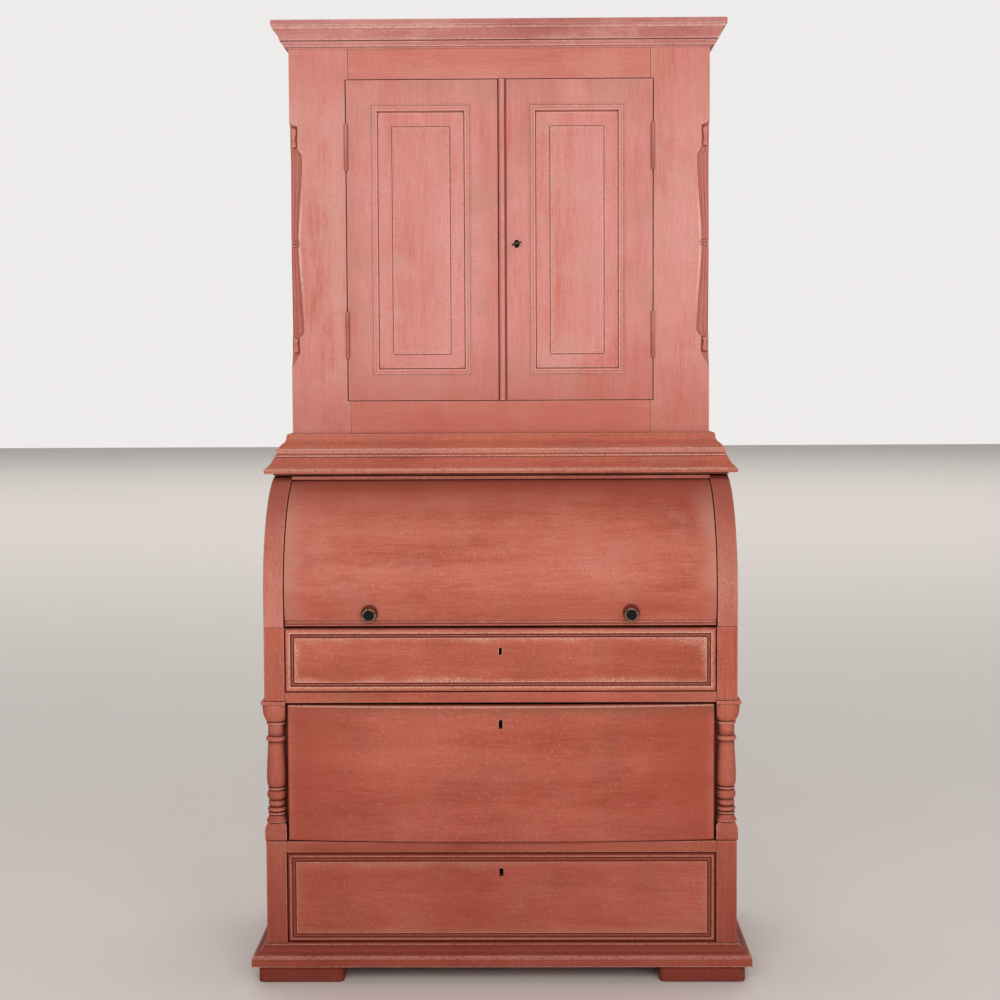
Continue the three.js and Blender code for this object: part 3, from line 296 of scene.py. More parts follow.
@dataclass(frozen=True)
class DistressedPaint(Finish):
    """Chalky paint, rubbed pale on its edges, glazed dark in its crevices, and darkened in its recesses by
    painted shade with dirt.

    Brown bloom lies along a board's ends within rim_reach, in a band at inner_span, and in clouds. Pale
    dust lies in a halo at its distance from the ends. Grime and painted shade of the light falling off
    deepen the paint towards the floor, between two heights.
    """

    deep: Colour = (154, 72, 54)
    body: Colour = (178, 91, 72)
    light: Colour = (192, 107, 88)
    chalk: Colour = (228, 176, 152)
    glaze: Colour = (92, 26, 18)
    bloom: Colour = (154, 104, 84)
    dust: Colour = (214, 164, 142)
    rim: float = 0.1
    rim_reach: float = 0.05
    inner: float = 0.0
    inner_span: Pair = (0.041, 0.056)
    cloud: float = 0.25
    fleck: float = 0.24
    wear: float = 0.8
    halo: float = 0.0
    halo_reach: float = 0.014
    halo_share: float = 0.55
    crevice: float = 0.9
    grime: float = 0.0
    grime_tint: Colour = (104, 20, 8)
    grime_span: Pair = (0.72, -0.08)

    def end_distance(self, graph: Graph) -> Socket:
        """Distance to the nearest end of the board, read along its face.

        Args:
            graph: The material's graph.

        Returns:
            The distance in metres.
        """
        normal = graph.node("TexCoord").outputs["Normal"]
        away = graph.vector("ABSOLUTE", normal).outputs[0]
        nearest = graph.vector("MINIMUM", graph.stored("from_low"), graph.stored("from_high")).outputs[0]
        parts = graph.parts(graph.vector("ADD", nearest, away).outputs[0])
        return graph.math("MINIMUM", graph.math("MINIMUM", parts[0], parts[1]), parts[2])

    def ragged(self, graph: Graph, distance: Socket, noise: Socket, spread: float) -> Socket:
        """A distance whose contour wanders with a noise."""
        return graph.plus(distance, graph.times(graph.math("SUBTRACT", noise, 0.5), spread))

    def bloomed(self, graph: Graph, colour: Socket, cloud: Socket, patch: Socket, sponge: Socket) -> Socket:
        """Lay the brown bloom and the pale halo along the board's ends.

        Args:
            graph: The material's graph.
            colour: The paint's colour so far.
            cloud: Broad noise.
            patch: Noise along the grain.
            sponge: Fine noise.

        Returns:
            The new colour.
        """
        distance = self.end_distance(graph)
        rubbed = self.ragged(graph, self.ragged(graph, distance, patch, 0.09), sponge, 0.035)
        colour = graph.mix(colour, self.bloom, graph.step(rubbed, self.rim_reach, -0.008), self.rim)
        if self.inner:
            band = graph.step(self.ragged(graph, distance, sponge, 0.02), *self.inner_span)
            colour = graph.mix(colour, self.bloom, band, graph.step(cloud, 0.4, 0.58), self.inner)
        if self.halo:
            outer = self.ragged(graph, self.ragged(graph, distance, cloud, 0.07), sponge, 0.03)
            ring = graph.step(outer, self.halo + self.halo_reach, self.halo - 0.006)
            crumbs = graph.step(graph.noise(graph.place(), 330.0, 4.0, 0.8), 0.4, 0.62)
            start = graph.step(distance, self.halo - 0.0008, self.halo)
            colour = graph.mix(colour, self.dust, ring, crumbs, start, self.halo_share)
        return colour

    def draw(self, graph: Graph) -> bpy.types.Node:
        """Add the paint's nodes.

        Args:
            graph: The material's graph.

        Returns:
            The shader.
        """
        place, streak = graph.place(), graph.stored("streak")
        broad = graph.noise(place, 3.4, 3.0, 0.6)
        cloud = graph.noise(place, 9.0, 5.0, 0.62)
        patch = graph.noise(streak, 19.0, 4.0, 0.62)
        brush = graph.noise(streak, 250.0, 3.0, 0.6)
        sponge = graph.noise(place, 170.0, 5.0, 0.72)
        speck = graph.noise(place, 480.0, 2.0, 0.6)
        level = graph.plus(graph.times(broad, 0.4), graph.times(patch, 0.35))
        level = graph.plus(level, graph.times(brush, 0.25))
        colour = graph.ramp(level, [(0.38, self.deep), (0.5, self.body), (0.62, self.light)])
        colour = graph.mix(colour, self.bloom, graph.step(cloud, 0.5, 0.66), self.cloud)
        colour = graph.mix(colour, self.chalk, graph.step(sponge, 0.56, 0.67), self.fleck)
        colour = graph.mix(colour, self.deep, graph.step(sponge, 0.47, 0.32), 0.45)
        colour = self.bloomed(graph, colour, cloud, patch, sponge)
        colour = graph.mix(colour, self.glaze, graph.step(speck, 0.38, 0.27), 0.55)
        # the stored tone paints shade, shadow and highlight in places, besides deeper paint, glazing and
        # rubbing
        shade, dark, pale = graph.parts(graph.stored("tone"))
        colour = graph.mix(colour, self.deep, shade)
        # painted shade of the light falling off towards the floor, with grime: the paint deepens below a
        # height
        if self.grime:
            low = graph.step(self.ragged(graph, graph.parts(place)[2], cloud, 0.3), *self.grime_span)
            colour = graph.mix(colour, self.grime_tint, low, self.grime)
        colour = graph.mix(colour, self.chalk, pale, graph.step(sponge, 0.3, 0.55))
        near, shade_and_dirt_air = graph.open_air(0.006, 7), graph.open_air(0.045, 6)
        edge = graph.times(graph.step(graph.edge_turn(0.0024, 5), 0.002, 0.03), graph.step(near, 0.8, 0.95))
        scuff = graph.plus(graph.step(sponge, 0.4, 0.56), 0.35)
        colour = graph.mix(colour, self.chalk, edge, graph.step(patch, 0.26, 0.5), scuff, self.wear)
        # painted shade with dirt: darker where the surface is enclosed within a few centimetres
        colour = graph.mix(colour, self.glaze, graph.step(shade_and_dirt_air, 0.72, 0.2), 0.5)
        thick = graph.plus(graph.times(graph.step(cloud, 0.36, 0.6), 0.5), 0.66)
        colour = graph.mix(colour, self.glaze, graph.step(near, 0.78, 0.4), self.crevice, thick)
        colour = graph.mix(colour, self.glaze, dark)
        height = graph.plus(graph.times(brush, 0.5), graph.times(sponge, 0.8))
        return graph.surface(colour, (0.56, 0.26), height, (0.34, 0.0012), sponge, Specular_IOR_Level=0.22)


@dataclass(frozen=True)
class BarePine(Finish):
    """Old unpainted pine with bands of grain and dust in its corners."""

    early: Colour = (208, 165, 116)
    late: Colour = (180, 128, 80)
    dirt: Colour = (104, 74, 50)

    def draw(self, graph: Graph) -> bpy.types.Node:
        """Add the pine's nodes.

        Args:
            graph: The material's graph.

        Returns:
            The shader.
        """
        streak = graph.stored("streak")
        rings = graph.math("SINE", graph.times(graph.noise(streak, 9.0, 2.0, 0.5), 120.0))
        fibre = graph.noise(streak, 320.0, 3.0, 0.65)
        bands = graph.plus(graph.times(rings, 0.32), graph.times(fibre, 0.9))
        colour = graph.mix(self.early, self.late, graph.step(bands, 0.1, 0.85))
        stain = graph.noise(graph.place(), 6.0, 4.0, 0.6)
        colour = graph.mix(colour, self.dirt, graph.step(stain, 0.5, 0.8), 0.35)
        colour = graph.mix(colour, self.dirt, graph.step(graph.open_air(0.02, 6), 0.8, 0.3), 0.6)
        return graph.surface(colour, (0.58, 0.25), fibre, (0.3, 0.0008), fibre)


@dataclass(frozen=True)
class DarkIron(Finish):
    """Dark iron with brown rust and rubbed bright edges."""

    body: Colour = (46, 33, 32)
    rust: Colour = (86, 46, 36)
    bright: Colour = (140, 132, 124)

    def draw(self, graph: Graph) -> bpy.types.Node:
        """Add the iron's nodes.

        Args:
            graph: The material's graph.

        Returns:
            The shader.
        """
        place = graph.place()
        pits = graph.noise(place, 520.0, 4.0, 0.7)
        colour = graph.mix(self.body, self.rust, graph.step(graph.noise(place, 70.0, 3.0, 0.6), 0.5, 0.68))
        colour = graph.mix(colour, self.bright, graph.step(graph.edge_turn(0.0008, 4), 0.02, 0.15), 0.5)
        return graph.surface(colour, (0.35, 0.35), pits, (0.25, 0.0004), pits, Metallic=0.75)


@dataclass(frozen=True)
class BlackPaint(Finish):
    """Black paint on turned wood, worn thin on its rims."""

    body: Colour = (14, 14, 13)
    worn: Colour = (168, 150, 120)
    plate: Colour = (112, 44, 34)

    def draw(self, graph: Graph) -> bpy.types.Node:
        """Add the black paint's nodes.

        Args:
            graph: The material's graph.

        Returns:
            The shader.
        """
        place = graph.place()
        grit = graph.noise(place, 700.0, 3.0, 0.6)
        patch = graph.noise(place, 150.0, 2.0, 0.6)
        worn = (graph.step(graph.edge_turn(0.001, 4), 0.02, 0.12), graph.step(patch, 0.5, 0.62))
        colour = graph.mix(self.body, self.worn, *worn, graph.step(grit, 0.36, 0.56))
        plate, rubbed, _ = graph.parts(graph.stored("tone"))
        colour = graph.mix(colour, self.worn, rubbed, graph.step(patch, 0.3, 0.5))
        colour = graph.mix(colour, self.plate, plate)
        return graph.surface(colour, (0.44, 0.3), grit, (0.16, 0.0004), grit, Specular_IOR_Level=0.14)


@dataclass(frozen=True)
class StudioFloor(Finish):
    """Plain pale floor with a trace of unevenness."""

    body: Colour = (232, 226, 222)

    def draw(self, graph: Graph) -> bpy.types.Node:
        """Add the floor's nodes and return its shader."""
        rough = graph.plus(graph.times(graph.noise(graph.place(), 3.0), 0.1), 0.6)
        return graph.node("BsdfPrincipled", {"Base Color": self.body, "Roughness": rough})


# Each paint's darkening towards the floor is painted shade of the light falling off, with grime.
PINK = DistressedPaint(
    "pink_paint_finish", "pink_paint", deep=(205, 128, 119), body=(211, 139, 132), light=(218, 151, 145),
    chalk=(232, 190, 176), glaze=(128, 56, 48), bloom=(208, 156, 144), rim=0.4, cloud=0.45, fleck=0.3,
    wear=0.5, crevice=0.62, grime=0.75, grime_tint=(176, 88, 70), grime_span=(1.5, 1.08),
)
PINK_FRAME = replace(
    PINK, name="door_frame_paint_finish", deep=(202, 118, 104), bloom=(190, 134, 119), rim=0.55,
    rim_reach=0.028, wear=0.9, grime=0.95, inner=0.34,
)
PINK_PANEL = replace(
    PINK_FRAME, name="panel_paint_finish", bloom=(208, 156, 144), rim=0.0, halo=0.0465, halo_reach=0.026,
    halo_share=0.9, dust=(150, 106, 86), grime=0.3, inner=0.0,
)
PINK_RAIL = replace(
    PINK, name="rail_paint_finish", deep=(192, 108, 94), body=(202, 122, 109), light=(210, 134, 122),
    rim=0.1, cloud=0.2, wear=0.3,
)
PINK_MOULDED = replace(
    PINK, name="cornice_paint_finish", deep=(174, 104, 99), body=(189, 121, 116), light=(203, 140, 135),
    glaze=(118, 60, 60), rim=0.2, wear=0.85, grime=0.0,
)
CARVED = replace(
    PINK, name="carved_stile_finish", deep=(190, 100, 82), body=(211, 138, 129), wear=0.45, rim=0.4,
    rim_reach=0.06, crevice=0.3,
)
HINGE_PAINT = replace(
    PINK, name="hinge_paint_finish", slot="dark_iron", deep=(160, 86, 76), body=(184, 110, 99),
    light=(200, 130, 118), chalk=(150, 120, 104), rim=0.0, grime=0.0,
)
TERRACOTTA = DistressedPaint("terracotta_paint_finish", "terracotta_paint", wear=0.4, grime=0.62)
# Painted shade: the feet are painted darker where the light falls off near the floor.
FOOT_PAINT = replace(
    TERRACOTTA, name="foot_paint_finish", deep=(122, 54, 40), body=(142, 68, 54), light=(158, 82, 66)
)
CHEEK_PAINT = replace(
    TERRACOTTA, name="cheek_paint_finish", deep=(170, 90, 74), body=(186, 108, 93), light=(200, 130, 117),
    grime=0.0,
)
MOULDED = replace(
    TERRACOTTA, name="moulding_paint_finish", body=(182, 96, 78), chalk=(218, 170, 154), wear=0.85, rim=0.1
)
FALL_PAINT = replace(
    TERRACOTTA, name="fall_paint_finish", deep=(160, 76, 58), body=(187, 102, 84), light=(199, 118, 102),
    bloom=(192, 134, 119), rim=0.7, wear=0.7, grime=0.0,
)
DRAWER_PAINT = replace(
    TERRACOTTA, name="drawer_paint_finish", body=(176, 88, 70), rim=0.0, wear=0.9, halo=0.02,
    halo_reach=0.015, halo_share=0.9, dust=(222, 174, 154), grime=0.3,
)
LOWER_DRAWER_PAINT = replace(
    DRAWER_PAINT, name="lower_drawer_paint_finish", dust=(190, 138, 120), wear=0.45, halo=0.0195,
    halo_reach=0.02, halo_share=0.75,
)
DEEP_PAINT = replace(
    TERRACOTTA, name="deep_drawer_paint_finish", deep=(158, 70, 52), body=(177, 91, 74),
    light=(188, 103, 86), chalk=(200, 166, 152), bloom=(134, 82, 61), rim=0.85, rim_reach=0.052, grime=0.2,
)
PINE = BarePine("bare_pine_finish", "bare_pine")
IRON = DarkIron("dark_iron_finish", "dark_iron")
BLACK = BlackPaint("black_paint_finish", "black_paint")
FLOOR = StudioFloor("studio_floor_finish", "floor")


# Shapes


def oval(centre: Pair, radii: Pair, count: int) -> list[Pair]:
    """Points round an oval."""
    turns = [2 * math.pi * i / count for i in range(count)]
    return [(centre[0] + radii[0] * math.cos(a), centre[1] + radii[1] * math.sin(a)) for a in turns]


class Form:
    """Vertices and faces of one piece, in millimetres: across, depth behind the stiles, height."""

    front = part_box("right_corner_post")[0].y

    def __init__(self) -> None:
        """Start an empty form."""
        self.points: list[Point] = []
        self.faces: list[list[int]] = []

    def loft(self, rings: Sequence[Sequence[Point]], wrap: bool = False) -> "Form":
        """Skin a row of rings that have the same number of points.

        Args:
            rings: The rings, in order.
            wrap: Whether the last ring joins the first, instead of a cap at each end.

        Returns:
            The form itself.
        """
        start, count = len(self.points), len(rings[0])
        for ring in rings:
            self.points.extend(ring)
        pairs = len(rings) if wrap else len(rings) - 1
        for i in range(pairs):
            here, following = start + i * count, start + ((i + 1) % len(rings)) * count
            for j in range(count):
                k = (j + 1) % count
                self.faces.append([here + j, here + k, following + k, following + j])
        if not wrap:
            self.faces.append([start + j for j in range(count)])
            self.faces.append([start + pairs * count + j for j in range(count)])
        return self

    def plates(self, loops: Sequence[tuple[Pair, Pair, float]], wrap: bool = False) -> "Form":
        """Skin rectangles that face the front, each given by its span across, its height and its depth."""
        rings = [[(x0, d, z0), (x1, d, z0), (x1, d, z1), (x0, d, z1)] for (x0, x1), (z0, z1), d in loops]
        return self.loft(rings, wrap)

    def turned(self, profile: Sequence[Pair], axis: Pair, segments: int = 48) -> "Form":
        """Turn a profile of radius and height about an upright axis."""
        rows = [(oval(axis, (radius, radius), segments), height) for radius, height in profile]
        return self.loft([[(x, d, height) for x, d in row] for row, height in rows])

    def run(self, outline: Sequence[Pair], span: Pair, way: Axis) -> "Form":
        """Run an outline from one end of a span to the other.

        Args:
            outline: Points in the two directions other than the run's, in their usual order.
            span: Where the run starts and ends.
            way: The run's direction.

        Returns:
            The form itself.
        """
        rings = []
        for place in span:
            points = [list(pair) for pair in outline]
            for point in points:
                point.insert(way.value, place)
            rings.append([tuple(point) for point in points])
        return self.loft(rings)

    def moved(self, change: Callable[[Point], Point]) -> "Form":
        """Move every point of the form."""
        self.points = [change(point) for point in self.points]
        return self

    def mesh(self, name: str) -> bpy.types.Mesh:
        """Make the mesh in the row frame, in metres.

        Args:
            name: The mesh's name.

        Returns:
            The mesh.
        """
        made = bpy.data.meshes.new(name)
        made.from_pydata([(x * MM, self.front + d * MM, z * MM) for x, d, z in self.points], [], self.faces)
        return made


def inset_loops(across: Pair, height: Pair, steps: Iterable[Pair]) -> list[tuple[Pair, Pair, float]]:
    """Rectangles set in from a span across and a height, one for each pair of inset and depth."""
    return [((across[0] + i, across[1] - i), (height[0] + i, height[1] - i), depth) for i, depth in steps]


def inset_of(places: np.ndarray, across: Pair, height: Pair) -> np.ndarray:
    """How far points lie inside a rectangle that faces the front."""
    x, z = places[:, 0], places[:, 2]
    return np.minimum.reduce([x - across[0], across[1] - x, z - height[0], height[1] - z])


def between(values: np.ndarray, low: float, high: float) -> np.ndarray:
    """Which values lie between two limits."""
    return (values > low) & (values < high)


def rise(values: np.ndarray, start: float, span: float) -> np.ndarray:
    """Share that climbs from 0 at a start to 1 after a span, which may be negative."""
    return np.clip((values - start) / span, 0, 1)


def tones(deep: object, dark: object, pale: object) -> np.ndarray:
    """Stack each point's shares of deeper paint, dark glazing and pale rubbed paint, which also carry
    painted shade, shadow and highlight.
    """
    return np.stack(np.broadcast_arrays(deep, dark, pale), axis=1).astype(float)


@dataclass
class Piece:
    """One visible piece that stands for a CAD node: a form of its own, or else the node's solid."""

    node: str
    finish: Finish
    form: Optional[Form] = None
    grain: Optional[Axis] = None
    arris: float = 0.9
    cuts: Sequence[Form] = ()
    smooth_angle: float = 34.0
    tone: Optional[Tone] = None
    side_grain: Optional[Axis] = None
    side_shade: float = 0.0

    def clean(self, mesh: bpy.types.Mesh) -> None:
        """Join split corners, drop the edges inside a solid's flat faces and mark the sharp ones.

        Args:
            mesh: The piece's mesh.
        """
        work = bmesh.new()
        work.from_mesh(mesh)
        bmesh.ops.remove_doubles(work, verts=work.verts, dist=JOIN_DISTANCE)
        if self.form is None:
            bmesh.ops.dissolve_limit(work, angle_limit=FLAT_ANGLE, verts=work.verts, edges=work.edges)
        bmesh.ops.recalc_face_normals(work, faces=work.faces)
        limit = math.radians(self.smooth_angle)
        for face in work.faces:
            face.smooth = True
        for edge in work.edges:
            edge.smooth = len(edge.link_faces) == 2 and edge.calc_face_angle(0.0) < limit
        work.to_mesh(mesh)
        work.free()

    def carve(self, made: bpy.types.Object) -> None:
        """Cut the piece's holes out of it.

        Args:
            made: The piece's object.
        """
        for index, cut in enumerate(self.cuts):
            tool = bpy.data.objects.new("cutter", cut.mesh("cutter"))
            bpy.context.scene.collection.objects.link(tool)
            self.clean(tool.data)
            change = made.modifiers.new(f"hole_{index}", "BOOLEAN")
            change.operation, change.solver, change.object = "DIFFERENCE", "EXACT", tool
            graph = bpy.context.evaluated_depsgraph_get()
            result = bpy.data.meshes.new_from_object(made.evaluated_get(graph))
            made.modifiers.clear()
            made.data = result
            bpy.data.objects.remove(tool)

    def on_sides(self, mesh: bpy.types.Mesh, values: np.ndarray, part: object, value: object) -> None:
        """Give the corners of the faces that face sideways a value of their own.

        Args:
            mesh: The piece's mesh.
            values: One row for each corner.
            part: Which part of a row is set.
            value: What it is set to.
        """
        for face in mesh.polygons:
            if abs(face.normal.x) > SIDEWAYS:
                values[face.loop_start : face.loop_start + face.loop_total, part] = value

    def stretch(self, along: int) -> np.ndarray:
        """Scale of the noise in each direction, with the grain along one of them."""
        return np.where(np.arange(3) == along, np.float32(ALONG_GRAIN), np.float32(1))

    def mark(self, mesh: bpy.types.Mesh) -> None:
        """Store each point's distance from the piece's ends, its place along the grain and its tone.

        Args:
            mesh: The piece's mesh.
        """
        flat = np.zeros(len(mesh.vertices) * 3, np.float32)
        mesh.vertices.foreach_get("co", flat)
        points = flat.reshape(-1, 3)
        low, high = points.min(0), points.max(0)
        corners = np.zeros(len(mesh.loops), np.int32)
        mesh.loops.foreach_get("vertex_index", corners)
        along = self.grain.value if self.grain else int(np.argmax(high - low))  # the longest side
        stretches = np.tile(self.stretch(along), (len(corners), 1))
        if self.side_grain:
            self.on_sides(mesh, stretches, slice(None), self.stretch(self.side_grain.value))
        seed = sum((index + 3) * ord(letter) for index, letter in enumerate(self.node)) % NODE_SHIFTS
        places = (points - np.array([0, Form.front, 0])) / MM
        tone = (tones(0, 0, places[:, 0] * 0) if self.tone is None else self.tone(places))[corners]
        if self.side_shade:
            self.on_sides(mesh, tone, 0, self.side_shade)
        for name, domain, value in (
            ("from_low", "POINT", points - low),
            ("from_high", "POINT", high - points),
            ("streak", "CORNER", points[corners] * stretches + seed * NODE_SHIFT),
            ("tone", "CORNER", tone),
        ):
            stored = mesh.attributes.new(name, "FLOAT_VECTOR", domain)
            stored.data.foreach_set("vector", value.astype(np.float32).ravel())

    def place(self) -> None:
        """Build the piece, finish it, and tie it to its node's body."""
        source = frame["nodes"][self.node]
        name = f"{self.node}_surface"
        mesh = source.data.copy() if self.form is None else self.form.mesh(name)
        if "custom_normal" in mesh.attributes:
            mesh.attributes.remove(mesh.attributes["custom_normal"])
        mesh.name = name
        made = bpy.data.objects.new(name, mesh)
        bpy.context.scene.collection.objects.link(made)
        self.clean(made.data)
        if self.cuts:
            self.carve(made)
            self.clean(made.data)
        self.mark(made.data)
        made.data.materials.clear()
        made.data.materials.append(self.finish.material())
        if self.arris:
            bevel = made.modifiers.new("arris", "BEVEL")
            bevel.width, bevel.segments = self.arris * MM, 2
            bevel.limit_method, bevel.angle_limit = "ANGLE", ARRIS_ANGLE
        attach(made, source["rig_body"])
        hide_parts(self.node)


def place_all(title: str, pieces: Sequence[Piece]) -> None:
    """Place a sub-assembly's pieces and report each.

    Args:
        title: What the sub-assembly is called in the log.
        pieces: Its pieces.
    """
    for piece in pieces:
        piece.place()
        log.info("%s: %s", title, piece.node)


def node_size(node: str) -> tuple[Pair, Pair, Pair]:
    """Measure a CAD node in a form's millimetres.

    Args:
        node: The node's name.

    Returns:
        Its span across, in depth behind the stiles, and in height.
    """
    low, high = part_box(node)
    depth = ((low.y - Form.front) / MM, (high.y - Form.front) / MM)
    return (low.x / MM, high.x / MM), depth, (low.z / MM, high.z / MM)


def on_arc(centre: Pair, radius: float, degrees: float) -> Pair:
    """A point on an arc whose angles rise from the front over the top."""
    turn = math.radians(degrees)
    return (centre[0] - radius * math.cos(turn), centre[1] + radius * math.sin(turn))


def arc(centre: Pair, radius: float, start: float, end: float, step: float = 1.5) -> list[Pair]:
    """Points on an arc, a step in degrees apart."""
    count = max(2, int(abs(end - start) / step))
    return [on_arc(centre, radius, start + (end - start) * i / count) for i in range(count + 1)]


def swept(half: float, front: float, back: float, profile: Sequence[Pair]) -> Form:
    """Run a moulding's profile round the front and both sides of a carcase.

    Args:
        half: Half the carcase's width.
        front: Depth of the carcase's face.
        back: Depth at which the moulding ends.
        profile: Points of distance out and height, closed by their order.

    Returns:
        The moulding's form.
    """
    corners = [(-half, back, -1, 0), (-half, front, -1, -1), (half, front, 1, -1), (half, back, 1, 0)]
    rings = [[(x + u * lean_x, d + u * lean_d, z) for u, z in profile] for x, d, lean_x, lean_d in corners]
    return Form().loft(rings)


def boarded(node: str, boards: int) -> Piece:
    """Upright pine boards with a narrow vee between them on their back face.

    Args:
        node: The node they stand for.
        boards: How many there are.

    Returns:
        The piece.
    """
    (x0, x1), (d0, d1), height = node_size(node)
    outline = [(x0, d0), (x1, d0), (x1, d1 - 0.8), (x1 - 0.8, d1)]
    for i in range(boards - 1, 0, -1):
        seam = x0 + (x1 - x0) * i / boards
        outline += [(seam + 1.3, d1), (seam + 0.3, d1 - 2.2), (seam - 0.3, d1 - 2.2), (seam - 1.3, d1)]
    outline += [(x0 + 0.8, d1), (x0, d1 - 0.8)]
    return Piece(node, PINE, Form().run(outline, height, Axis.UP), Axis.UP, 0)


def board(node: str, finish: Finish, grain: Axis = Axis.ACROSS, arris: float = 1.0) -> Piece:
    """A plain board in the shape of its solid, with rounded arrises."""
    return Piece(node, finish, grain=grain, arris=arris)


def box(node: str, arris: float = 1.0) -> Piece:
    """A pine box whose sides run from front to back."""
    return Piece(node, PINE, grain=Axis.ACROSS, arris=arris, side_grain=Axis.DEPTH)


# Bureau


@dataclass
class BureauCase:
    """The bureau's carcase boards, cheeks, feet and back."""

    straight_foot: float = 70.0
    side_shade: float = 0.9
    curve_shade: Pair = (980.0, 90.0)
    rubbed_height: float = 890.0
    rubbed_reach: float = 70.0

    def cheek(self, side: Side) -> Form:
        """Outline of a cheek with a smooth curve.

        Args:
            side: Which cheek.

        Returns:
            The cheek's form.
        """
        across, depth, height = node_size(f"{side.word}_cylinder_cheek")
        radius = (height[1] - height[0]) - self.straight_foot
        outline = [(depth[0], height[0]), *arc((depth[0] + radius, height[1] - radius), radius, 0, 90)]
        outline += [(depth[1], height[1]), (depth[1], height[0])]
        return Form().run(outline, across, Axis.ACROSS)

    def cheek_tone(self, places: np.ndarray) -> np.ndarray:
        """Painted shade where a cheek curves back under the cupboard, and a painted highlight across the
        right cheek.

        Args:
            places: Points in a form's millimetres.

        Returns:
            The tone of each point.
        """
        # painted shade on the upturned curve, and a painted highlight in a band across the right cheek
        share, off = rise(places[:, 2], *self.curve_shade), np.abs(places[:, 2] - self.rubbed_height)
        rubbed = rise(off, self.rubbed_reach, -self.rubbed_reach) * (places[:, 0] > 0)
        return tones(share * 0.9, share * 0.1, rubbed * 0.22)

    def dress(self) -> None:
        """Place the carcase's pieces."""
        pieces = []
        for side in Side:
            cheek = Piece(f"{side.word}_cylinder_cheek", CHEEK_PAINT, self.cheek(side), Axis.UP, 1.6)
            cheek.tone, cheek.side_shade = self.cheek_tone, self.side_shade
            pieces.append(cheek)
            for name in ("corner_post", "gable"):
                pieces.append(Piece(f"{side.word}_{name}", TERRACOTTA, arris=1.3))
            pieces += [board(f"{row}_{side.word}_foot", FOOT_PAINT, arris=2.2) for row in ("front", "rear")]
        boards = ("bottom_board", "lower_dustboard", "upper_dustboard")
        pieces += [board(name, TERRACOTTA, arris=1.6) for name in boards]
        pieces += [Piece("bureau_top", TERRACOTTA, arris=1.2), boarded("bureau_back", 7)]
        place_all("bureau carcase", pieces)


